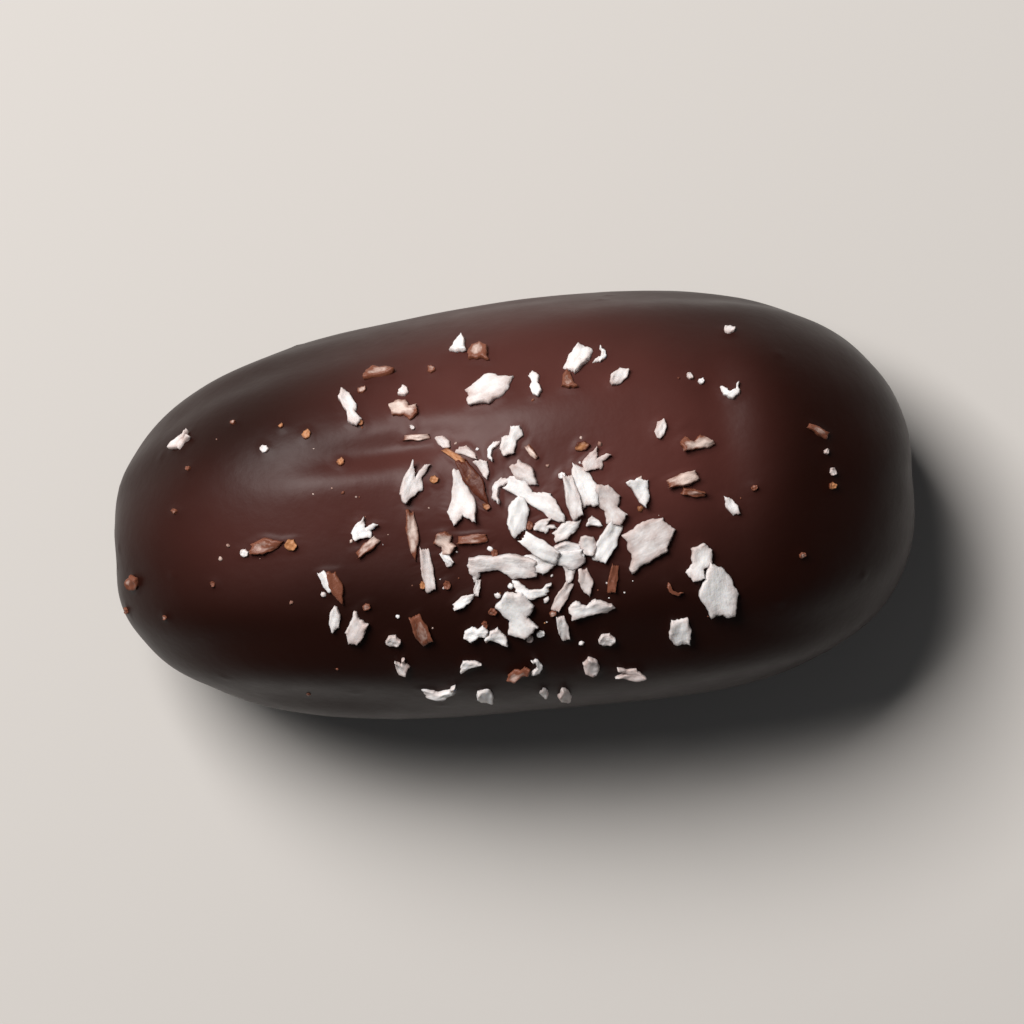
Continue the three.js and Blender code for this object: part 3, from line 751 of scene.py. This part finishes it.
def filled(rim):
    """Points and anticlockwise triangles that fill a rim. The rim's own points come first."""
    side = np.roll(rim, -1, axis=0) - rim
    inward = np.stack([-side[:, 1], side[:, 0]], axis=1)
    inward /= np.linalg.norm(inward, axis=1)[:, None]
    inward += np.roll(inward, 1, axis=0)
    inward /= np.linalg.norm(inward, axis=1)[:, None]
    second = rim + inward * EDGE_WIDTH
    steps = np.arange(-GRID_REACH, GRID_REACH, GRID_SPACING)
    grid = np.array([
        (x + shape_draw.between(-GRID_JITTER, GRID_JITTER), y + shape_draw.between(-GRID_JITTER, GRID_JITTER))
        for x in steps for y in steps])
    second = second[depth_inside(second, rim) > EDGE_CLEAR * EDGE_WIDTH]
    grid = grid[depth_inside(grid, rim) > GRID_CLEAR * EDGE_WIDTH]
    points = np.vstack([rim, second, grid])
    loop = list(range(len(rim)))
    found = delaunay_2d_cdt([Vector(point) for point in points], [], [loop], INSIDE_RIM, MERGE_DISTANCE)
    if len(found[0]) != len(points):
        raise ValueError("a torn rim crosses itself")
    return points, [tuple(face) for face in found[2]]


wedge = np.array(SHAPES["wedge"])
print("the middle of a wedge lies", depth_inside(np.zeros((1, 2)), wedge)[0].round(2), "inside its rim")

# %% Eleven torn chips
FLAKE_THICKNESS = 0.42
EDGE_SHARE = 0.6  # thickness left at the very rim
CREEP_WIDTH = 0.2  # how far in from the rim chocolate can creep
CURL = 0.26  # most rise of a flake's two ends above its middle, in millimetres
CURL_RANGE = (-0.4, 1)  # shares of that: some flakes curl a little the other way
CURL_DROP = 0.3  # the middle sinks by this share of the curl
TWIST = 0.3  # most rise of a flake's opposite corners
UNEVEN = 0.2  # share by which the thickness varies
UNEVEN_ALONG, UNEVEN_ACROSS = 9, 11  # how fast it varies, in radians for a flake's length and width
PHASE_RANGE = (0, 6)


def store(piece, name, kind, values):
    """Keeps a value for each point of a piece under a name, for the trees and materials to read."""
    field = "vector" if kind == "FLOAT_VECTOR" else "value"
    piece.data.attributes.new(name, kind, "POINT").data.foreach_set(field, np.ravel(values))


def chip(number, corners):
    """One flake of unit length and width, FLAKE_THICKNESS thick, bent and uneven, with grain and edge."""
    rim = torn_rim(corners)
    flat, triangles = filled(rim)
    phase = shape_draw.between(*PHASE_RANGE)
    curl = CURL * shape_draw.between(*CURL_RANGE)
    twist = TWIST * shape_draw.between(-1, 1)
    x, y = flat.T
    inside = depth_inside(flat, rim)
    body = EDGE_SHARE + (1 - EDGE_SHARE) * np.clip(inside / EDGE_WIDTH, 0, 1)
    waves = np.sin(UNEVEN_ALONG * x + phase) * np.cos(UNEVEN_ACROSS * y - phase)
    half = FLAKE_THICKNESS / 2 * body * (1 + UNEVEN * waves)
    lift = curl * ((2 * x) ** 2 - CURL_DROP) + twist * 4 * x * y
    points = np.vstack([np.column_stack([flat, lift + half]), np.column_stack([flat, lift - half])])
    under = len(flat)
    faces = triangles + [(under + c, under + b, under + a) for a, b, c in triangles]
    for i in range(len(rim)):
        after = (i + 1) % len(rim)
        faces.append((under + i, under + after, after, i))
    made = mesh_object(f"chip_{number:02}", points * MM, faces)
    store(made, "grain", "FLOAT_VECTOR", points * MM)
    store(made, "edge", "FLOAT", np.tile(1 - np.clip(inside / CREEP_WIDTH, 0, 1), 2))
    return made


chips = bpy.data.collections.new("chips")
for number, corners in enumerate(SHAPES.values()):
    made = chip(number, corners)
    bpy.context.scene.collection.objects.unlink(made)
    chips.objects.link(made)

# %% [markdown]
# ## Strewing the flakes with Geometry Nodes
#
# Each flake is first a single point that knows how it faces, how long and wide it is, and which chip
# it uses. A Geometry Nodes tree then puts a chip on every point, makes them real, and roughens each
# a little differently, so that no two are alike. Placing copies by hand in a script would also work,
# but the tree keeps its sizes as named inputs that a learner can change in the modifier.

# %% Points that carry the flakes' places
FIBRE_SHIFT = 0.02  # moves the fibres' pattern from flake to flake, so that no two have the same
TONES = {  # how dark flakes of each look are, from 0 to 1 of what their material allows
    WHITE: (0, 0.8), PINK: (0, 0.2), TAN: (0.45, 0.65), BROWN: (0.8, 1), GOLDEN: (0, 0.2), RUSSET: (0.8, 1)}
FLAKE_STAND = 0.1  # how far the middle of a flat flake stands above the coat
LAYER_LIFT = 0.3  # how much a flake rises for each flake that it lies on
HINGE_SHARE = 0.36  # a tilted flake turns about a line this share of its width from its middle
SLOPE_STEP = 0.4  # the coat's slope is measured over this far to each side
THINNEST = 0.6  # thickness of the narrowest shreds, as a share of the usual one


def over(x, y):
    """The point of the coat's top above a place in the smooth outline."""
    dx, dy = x / (LENGTH / 2), y / (WIDTH / 2)
    rise = max(0, 1 - outline_share(dx, dy) ** DOME_POWER) ** (1 / DOME_POWER)
    return Vector(coat_points([[dx, dy, rise]])[0])


def coat_at(x, y):
    """Place and outward direction of the coat's top above a place in the smooth outline."""
    along_x = over(x + SLOPE_STEP, y) - over(x - SLOPE_STEP, y)
    along_y = over(x, y + SLOPE_STEP) - over(x, y - SLOPE_STEP)
    return over(x, y), along_x.cross(along_y).normalized()


def flake_points(name, wanted):
    """A mesh of one point for each wanted flake, with attributes for the tree."""
    places, turns, sizes, shifts, tones = [], [], [], [], []
    for flake in wanted:
        place, normal = coat_at(flake["x"], flake["y"])
        tilt = math.radians(flake["tilt"])
        facing = Vector((0, 0, 1)).rotation_difference(normal)
        facing = facing @ Quaternion((0, 0, 1), math.radians(flake["turn"])) @ Quaternion((1, 0, 0), tilt)
        hinge = HINGE_SHARE * flake["width"] * abs(math.sin(tilt))
        places.append((place + normal * (FLAKE_STAND + LAYER_LIFT * flake["layer"] + hinge)) * MM)
        turns.append(facing)
        sizes.append((flake["length"], flake["width"], min(1, max(THINNEST, flake["width"]))))
        shifts.append([shape_draw.between(-FIBRE_SHIFT, FIBRE_SHIFT) for _ in range(3)])
        tones.append(shape_draw.between(*TONES[flake["kind"]]))
    points = mesh_object(name, places, [])
    store(points, "facing", "QUATERNION", turns)
    store(points, "stretch", "FLOAT_VECTOR", sizes)
    store(points, "shift", "FLOAT_VECTOR", shifts)
    store(points, "tone", "FLOAT", tones)
    store(points, "shape", "INT", [list(SHAPES).index(flake["shape"]) for flake in wanted])
    return points


place, normal = coat_at(0, 6)
slope = math.degrees(normal.angle(Vector((0, 0, 1))))
print(f"6 mm behind the middle the coat is {place.z:.1f} mm high and slopes by {slope:.0f} degrees")

# %% A tree with named inputs, and the plain mesh that it makes


def new_tree(name, inputs):
    """A Geometry Nodes tree with geometry in and out and named inputs, and the sockets of its inputs."""
    tree = bpy.data.node_groups.new(name, "GeometryNodeTree")
    tree.interface.new_socket("Geometry", in_out="OUTPUT", socket_type="NodeSocketGeometry")
    for label, kind in {"Geometry": "Geometry", **inputs}.items():
        tree.interface.new_socket(label, in_out="INPUT", socket_type=f"NodeSocket{kind}")
    return tree, tree.nodes.new("NodeGroupInput").outputs


def end_tree(tree, geometry, finish):
    """Ends a tree as the export needs it: with real geometry and its material."""
    real = add_node(tree, "GeometryNodeRealizeInstances", {"Geometry": geometry})
    finished = add_node(tree, "GeometryNodeSetMaterial", {"Geometry": real, "Material": finish})
    add_node(tree, "NodeGroupOutput", {"Geometry": finished})
    return tree


def run_tree(name, source, tree, values, spent=()):
    """A plain object named name, made by the tree from source. source and spent attributes go."""
    modifier = source.modifiers.new(tree.name, "NODES")
    modifier.node_group = tree
    for item in tree.interface.items_tree:
        if item.in_out == "INPUT" and item.name in values:
            modifier[item.identifier] = values[item.name]
    depsgraph = bpy.context.evaluated_depsgraph_get()
    evaluated = source.evaluated_get(depsgraph)
    mesh = bpy.data.meshes.new_from_object(evaluated, preserve_all_data_layers=True, depsgraph=depsgraph)
    source.modifiers.remove(modifier)
    bpy.data.objects.remove(source)
    for label in spent:
        mesh.attributes.remove(mesh.attributes[label])
    mesh.name = name
    piece = bpy.data.objects.new(name, mesh)
    bpy.context.scene.collection.objects.link(piece)
    return piece


# %% The tree that lays chips on points


def flake_tree():
    """Puts a chip on each point, roughens it, and keeps its grain at the chip's true size."""
    tree, given = new_tree("lay_flakes", {
        "Chips": "Collection", "Roughening depth": "Float", "Roughening size": "Float", "Seed": "Int",
        "Finish": "Material"})
    kinds = {
        "facing": "QUATERNION", "stretch": "FLOAT_VECTOR", "shape": "INT", "grain": "FLOAT_VECTOR",
        "shift": "FLOAT_VECTOR"}
    facing, stretch, shape, grain, shift = (
        add_node(tree, "GeometryNodeInputNamedAttribute", {"Name": name}, data_type=kind)
        for name, kind in kinds.items())
    shapes = add_node(tree, "GeometryNodeCollectionInfo", {
        "Collection": given["Chips"], "Separate Children": True, "Reset Children": True})
    laid = add_node(tree, "GeometryNodeInstanceOnPoints", {
        "Points": given["Geometry"], "Instance": shapes, "Pick Instance": True, "Instance Index": shape,
        "Rotation": facing, "Scale": stretch})
    real = add_node(tree, "GeometryNodeRealizeInstances", {"Geometry": laid})
    size = add_node(tree, "ShaderNodeMath", {0: 1, 1: given["Roughening size"]}, operation="DIVIDE")
    noise = add_node(tree, "ShaderNodeTexNoise", {
        "W": given["Seed"], "Scale": size, "Detail": 2}, noise_dimensions="4D")
    centred = add_node(tree, "ShaderNodeVectorMath", {
        0: noise.outputs["Color"], 1: (0.5, 0.5, 0.5)}, operation="SUBTRACT")
    depth = add_node(tree, "ShaderNodeMath", {0: given["Roughening depth"], 1: 2}, operation="MULTIPLY")
    offset = add_node(tree, "ShaderNodeVectorMath", {0: centred, "Scale": depth}, operation="SCALE")
    rough = add_node(tree, "GeometryNodeSetPosition", {"Geometry": real, "Offset": offset})
    true_size = add_node(tree, "ShaderNodeVectorMath", {
        0: grain, 1: stretch, 2: shift}, operation="MULTIPLY_ADD")
    grained = add_node(tree, "GeometryNodeStoreNamedAttribute", {
        "Geometry": rough, "Name": "grain", "Value": true_size}, data_type="FLOAT_VECTOR", domain="POINT")
    return end_tree(tree, grained, given["Finish"])


lay_flakes = flake_tree()
print("tree", lay_flakes.name, "with", len(lay_flakes.nodes), "nodes")

# %% Lay the flakes, one piece for each material
ROUGHEN_DEPTH = 0.09 * MM
ROUGHEN_SIZE = 0.6 * MM
ROUGHEN_SEED = 5
FINISHES = [
    ("coconut_flakes", flesh, "coconut", [WHITE]),
    ("smeared_flakes", smeared, "smeared_coconut", [PINK, TAN, BROWN]),
    ("skin_bits", skin, "coconut_skin", [GOLDEN, RUSSET]),
]
flake_pieces = []
for name, finish, slot, kinds in FINISHES:
    points = flake_points(f"{name}_points", [flake for flake in flakes if flake["kind"] in kinds])
    piece = run_tree(name, points, lay_flakes, {
        "Chips": chips, "Roughening depth": ROUGHEN_DEPTH, "Roughening size": ROUGHEN_SIZE,
        "Seed": ROUGHEN_SEED, "Finish": finish}, spent=("facing", "stretch", "shift", "shape"))
    flake_pieces.append((piece, slot))
    print(f"{name}: {len(piece.data.polygons)} faces")

# %% [markdown]
# ## Crumbs
#
# Shredding also leaves dust. The largest crumbs were measured above. The finer specks of flesh and of
# brown skin are too small for that, so a second tree scatters points over the coat, denser towards the
# heap, and puts a tiny lump on each. Small ones are the most common, which the cube of a random number
# gives, and a second random number says how dark each one is.

# %% A lumpy crumb and the tree that scatters it
CRUMB_SEED = 31
CRUMB_RADII = (0.7, 1.15)  # how far its hollows and lumps reach, as shares of an even ball's radius
CRUMB_FLATNESS = 0.7  # height of a crumb, as a share of its width
CRUMB_DETAIL = 2  # Blender's level for a ball of 80 faces
FULL_TURN = 6.28  # in radians


def crumb_shape():
    """A lumpy little ball, one unit across."""
    mesh = bpy.data.meshes.new("crumb")
    edit = bmesh.new()
    bmesh.ops.create_icosphere(edit, subdivisions=CRUMB_DETAIL, radius=0.5)
    lumps = Draw(CRUMB_SEED)
    for vertex in edit.verts:
        vertex.co *= lumps.between(*CRUMB_RADII)
        vertex.co.z *= CRUMB_FLATNESS
    edit.to_mesh(mesh)
    edit.free()
    mesh.polygons.foreach_set("use_smooth", [True] * len(mesh.polygons))
    return bpy.data.objects.new("crumb", mesh)


def crumb_tree():
    """Strews crumbs over a surface, most of them near a middle."""
    tree, given = new_tree("scatter_crumbs", {
        "Crumb": "Object", "Smallest": "Float", "Largest": "Float", "Most per square metre": "Float",
        "Middle": "Vector", "Spread": "Vector", "Seed": "Int", "Finish": "Material"})
    place = add_node(tree, "GeometryNodeInputPosition")
    near = add_node(tree, "ShaderNodeMapRange", {
        "Value": patch_distance(tree, place, given["Middle"], given["Spread"]),
        "From Min": 0, "From Max": 1, "To Min": 1, "To Max": 0})
    density = add_node(tree, "ShaderNodeMath", {
        0: near, 1: given["Most per square metre"]}, operation="MULTIPLY")
    points = add_node(tree, "GeometryNodeDistributePointsOnFaces", {
        "Mesh": given["Geometry"], "Density": density, "Seed": given["Seed"]})
    chance = add_node(tree, "FunctionNodeRandomValue", {"Seed": given["Seed"]}, data_type="FLOAT")
    small = add_node(tree, "ShaderNodeMath", {0: chance, 1: 3}, operation="POWER")
    size = add_node(tree, "ShaderNodeMapRange", {
        "Value": small, "To Min": given["Smallest"], "To Max": given["Largest"]})
    turn = add_node(tree, "FunctionNodeRandomValue", {
        "Min": (0, 0, 0), "Max": (FULL_TURN,) * 3, "Seed": given["Seed"]}, data_type="FLOAT_VECTOR")
    crumb = add_node(tree, "GeometryNodeObjectInfo", {"Object": given["Crumb"]})
    other_seed = add_node(tree, "ShaderNodeMath", {0: given["Seed"], 1: 1}, operation="ADD")
    tone = add_node(tree, "FunctionNodeRandomValue", {"Seed": other_seed}, data_type="FLOAT")
    toned = add_node(tree, "GeometryNodeStoreNamedAttribute", {
        "Geometry": points, "Name": "tone", "Value": tone}, data_type="FLOAT", domain="POINT")
    laid = add_node(tree, "GeometryNodeInstanceOnPoints", {
        "Points": toned, "Instance": crumb.outputs["Geometry"], "Rotation": turn, "Scale": size})
    return end_tree(tree, laid, given["Finish"])


scatter_crumbs = crumb_tree()
crumb = crumb_shape()
print(f"a crumb has {len(crumb.data.polygons)} faces")

# %% Scatter pale and brown crumbs
CRUMB_SMALLEST = 0.12 * MM
# Name, finish, slot, most crumbs per square millimetre, largest, middle, spread, and seed.
CRUMB_KINDS = [
    ("coconut_crumbs", flesh, "coconut", 0.22, 0.5, (1, -2, 21), (14, 10, 9), 3),
    ("smeared_crumbs", smeared, "smeared_coconut", 0.09, 0.5, (-2, 1, 21), (30, 15, 12), 8),
    ("skin_crumbs", skin, "coconut_skin", 0.04, 0.45, (0, 0, 21), (26, 14, 11), 14),
]
crumb_pieces = []
for name, finish, slot, most, largest, middle, spread, seed in CRUMB_KINDS:
    source = bpy.data.objects.new(f"{name}_source", bare_coat.data.copy())
    bpy.context.scene.collection.objects.link(source)
    piece = run_tree(name, source, scatter_crumbs, {
        "Crumb": crumb, "Smallest": CRUMB_SMALLEST, "Largest": largest * MM,
        "Most per square metre": most / MM**2, "Middle": Vector(middle) * MM,
        "Spread": Vector(spread) * MM, "Seed": seed, "Finish": finish})
    crumb_pieces.append((piece, slot))
    print(f"{name}: {len(piece.data.polygons) // len(crumb.data.polygons)} crumbs")

# %% [markdown]
# ## The fine relief of a hand-dipped coat
#
# Melted chocolate never sets as smooth as a formula. It keeps slow waves from the hand, runs down
# the flanks in shallow ribs, covers a few crumbs as low lumps, and creeps up a little on whatever is
# pressed into it. A last tree adds all four to the bare coat as true geometry, along its normals.
# The lumps and the creep use Geometry Proximity, which measures how far each point of the coat is
# from scattered points and from the flakes. The relief fades out at the tray, so the underside
# stays flat.

# %% The tree that adds the relief
RIB_STRETCH = 0.22  # the ribs are this much slower up the flank than round it


def coat_tree():
    """Raises waves, ribs, lumps and creep on the bare coat."""
    sizes = (
        "Wave height", "Wave length", "Rib height", "Rib spacing", "Rib top", "Lump height",
        "Lump radius", "Lumps per square metre", "Creep height", "Creep reach", "Fade height")
    tree, given = new_tree("hand_dipped_relief", {
        "Flakes": "Object", **dict.fromkeys(sizes, "Float"), "Seed": "Int", "Finish": "Material"})
    place = add_node(tree, "GeometryNodeInputPosition")
    level = add_node(tree, "ShaderNodeSeparateXYZ", {"Vector": place}).outputs["Z"]

    def swell(vector, size, height):
        """Noise of a size along a vector field, from minus to plus half the height."""
        scale = add_node(tree, "ShaderNodeMath", {0: 1, 1: size}, operation="DIVIDE")
        noise = add_node(tree, "ShaderNodeTexNoise", {
            "Vector": vector, "W": given["Seed"], "Scale": scale, "Detail": 1.5}, noise_dimensions="4D")
        centred = add_node(tree, "ShaderNodeMath", {0: noise, 1: 0.5}, operation="SUBTRACT")
        return add_node(tree, "ShaderNodeMath", {0: centred, 1: height}, operation="MULTIPLY")

    def near(target, target_element, reach, height):
        """A rise round a target, from the height where it touches to nothing at the reach."""
        found = add_node(tree, "GeometryNodeProximity", {"Target": target}, target_element=target_element)
        return add_node(tree, "ShaderNodeMapRange", {
            "Value": found.outputs["Distance"], "From Min": 0, "From Max": reach, "To Min": height,
            "To Max": 0}, interpolation_type="SMOOTHERSTEP")

    waves = swell(place, given["Wave length"], given["Wave height"])
    upright = add_node(tree, "ShaderNodeVectorMath", {0: place, 1: (1, 1, RIB_STRETCH)}, operation="MULTIPLY")
    ribs = swell(upright, given["Rib spacing"], given["Rib height"])
    flank = add_node(tree, "ShaderNodeMapRange", {
        "Value": level, "From Min": given["Rib top"], "From Max": 0, "To Min": 0, "To Max": 1},
        interpolation_type="SMOOTHSTEP")
    low_ribs = add_node(tree, "ShaderNodeMath", {0: ribs, 1: flank}, operation="MULTIPLY")
    lump_points = add_node(tree, "GeometryNodeDistributePointsOnFaces", {
        "Mesh": given["Geometry"], "Density": given["Lumps per square metre"], "Seed": given["Seed"]})
    lumps = near(lump_points, "POINTS", given["Lump radius"], given["Lump height"])
    toppings = add_node(tree, "GeometryNodeObjectInfo", {"Object": given["Flakes"]})
    creep = near(toppings.outputs["Geometry"], "FACES", given["Creep reach"], given["Creep height"])

    total = waves
    for part in (low_ribs, lumps, creep):
        total = add_node(tree, "ShaderNodeMath", {0: total, 1: part}, operation="ADD")
    fade = add_node(tree, "ShaderNodeMapRange", {
        "Value": level, "From Min": 0, "From Max": given["Fade height"]}, interpolation_type="SMOOTHSTEP")
    faded = add_node(tree, "ShaderNodeMath", {0: total, 1: fade}, operation="MULTIPLY")
    normal = add_node(tree, "GeometryNodeInputNormal")
    offset = add_node(tree, "ShaderNodeVectorMath", {0: normal, "Scale": faded}, operation="SCALE")
    moved = add_node(tree, "GeometryNodeSetPosition", {"Geometry": given["Geometry"], "Offset": offset})
    return end_tree(tree, moved, given["Finish"])


add_relief = coat_tree()
print("tree", add_relief.name, "with", len(add_relief.nodes), "nodes")

# %% Dress the coat


def joined(meshes):
    """The points and faces of several meshes as one list of each."""
    points, faces = [], []
    for mesh in meshes:
        start = len(points)
        points += [vertex.co for vertex in mesh.vertices]
        faces += [[start + i for i in polygon.vertices] for polygon in mesh.polygons]
    return points, faces


toppings = mesh_object("toppings", *joined([piece.data for piece, _ in flake_pieces]))
coat = run_tree("chocolate_coat", bare_coat, add_relief, {
    "Flakes": toppings, "Wave height": 0.08 * MM, "Wave length": 4.5 * MM,
    "Rib height": 0.5 * MM, "Rib spacing": 3.2 * MM, "Rib top": 9 * MM,
    "Lump height": 0.05 * MM, "Lump radius": 0.5 * MM, "Lumps per square metre": 0.014 / MM**2,
    "Creep height": 0.06 * MM, "Creep reach": 0.4 * MM, "Fade height": 1.6 * MM, "Seed": 11,
    "Finish": couverture})
bpy.data.objects.remove(toppings)
print(f"coat: {len(coat.data.polygons)} faces")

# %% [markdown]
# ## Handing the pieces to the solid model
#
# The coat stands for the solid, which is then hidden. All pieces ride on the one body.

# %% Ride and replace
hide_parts(CAD_NODE)
shown = [(coat, "dark_chocolate"), *flake_pieces, *crumb_pieces]
for piece, slot in shown:
    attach(piece, BODY)
bpy.data.objects.remove(crumb)
for made in list(chips.objects):
    bpy.data.objects.remove(made)
bpy.data.collections.remove(chips)
print(len(shown), "pieces,", sum(len(piece.data.loop_triangles) for piece, _ in shown), "triangles")

# %% [markdown]
# ## Floor, light and camera
#
# A plain pale floor, one large soft light high behind the piece, and a dim pale room. The light is
# large and high because the sheen on the chocolate is the light's own reflection: a broad light
# gives a broad sheen on the upper flank, which the painted sheen in the chocolate's colour turns
# mauve and strengthens, and leaves the near flank dark. The Standard view shows colours as they are,
# where Blender's usual view would turn the white flakes grey.
#
# The photograph looks almost straight down on the date, from a little behind it, with the date's
# right end turned up by a few degrees. A long lens from half a metre away gives the same flat view.

# %% Floor
FLOOR_REACH = 0.8  # metres to each side
FLOOR_DROP = 0.05 * MM  # keeps the floor clear of the flat underside
corners = [(-1, -1), (1, -1), (1, 1), (-1, 1)]
floor = mesh_object(
    "floor", [(x * FLOOR_REACH, y * FLOOR_REACH, -FLOOR_DROP) for x, y in corners], [(0, 1, 2, 3)])
card, card_tree = new_material("matt_pale_card")
board = add_node(card_tree, "ShaderNodeBsdfPrincipled", {
    "Base Color": linear("#d8d5d1"), "Roughness": 0.9, "Specular IOR Level": 0.2})
add_node(card_tree, "ShaderNodeOutputMaterial", {"Surface": board})
floor.data.materials.append(card)
print(f"floor {2 * FLOOR_REACH} m wide")

# %% Light and room
PIECE_MIDDLE = (cad_low + cad_high) / 2
LIGHT_PLACE = Vector((-0.20, 0.30, 0.46))
LIGHT_SIZE = 0.28
LIGHT_POWER = 4.4  # watts
ROOM_STRENGTH = 0.06

softbox = bpy.data.lights.new("softbox", "AREA")
softbox.shape = "SQUARE"
softbox.size = LIGHT_SIZE
softbox.energy = LIGHT_POWER
softbox.color = linear("#fffbf8")[:3]
light = bpy.data.objects.new("softbox", softbox)
light.location = LIGHT_PLACE
light.rotation_mode = "QUATERNION"
light.rotation_quaternion = (PIECE_MIDDLE - LIGHT_PLACE).to_track_quat("-Z", "Y")
light.visible_camera = False
bpy.context.scene.collection.objects.link(light)

world = bpy.data.worlds.new("pale_room")
world.use_nodes = True
room = world.node_tree.nodes["Background"].inputs
room["Color"].default_value = linear("#eceef2")
room["Strength"].default_value = ROOM_STRENGTH
bpy.context.scene.world = world
bpy.context.scene.view_settings.view_transform = "Standard"
print(f"softbox {LIGHT_SIZE} m wide, {(PIECE_MIDDLE - LIGHT_PLACE).length:.2f} m away")

# %% Camera
SENSOR = 36  # millimetres
DISTANCE = 0.55  # metres
VIEW_WIDTH = 0.0645  # what the frame spans at the piece
PHOTO_TURN = math.radians(5.8)  # the date's right end points this far up in the frame
LEAN_BACK = math.radians(5.5)  # the camera stands this far behind the piece
LEAN_RIGHT = math.radians(0.8)

frame_up = Vector((math.sin(PHOTO_TURN), math.cos(PHOTO_TURN), 0))
frame_right = Vector((math.cos(PHOTO_TURN), -math.sin(PHOTO_TURN), 0))
back = Vector((0, 0, 1)) + frame_up * math.tan(LEAN_BACK) + frame_right * math.tan(LEAN_RIGHT)
back.normalize()
up = (frame_up - back * frame_up.dot(back)).normalized()
camera_data = bpy.data.cameras.new("camera")
camera_data.sensor_width = SENSOR
camera_data.lens = SENSOR * DISTANCE / VIEW_WIDTH
camera = bpy.data.objects.new("camera", camera_data)
camera.matrix_world = Matrix((up.cross(back), up, back)).transposed().to_4x4()
camera.location = PIECE_MIDDLE + back * DISTANCE
bpy.context.scene.collection.objects.link(camera)
bpy.context.scene.camera = camera
print(f"lens {camera_data.lens:.0f} mm from {DISTANCE} m")
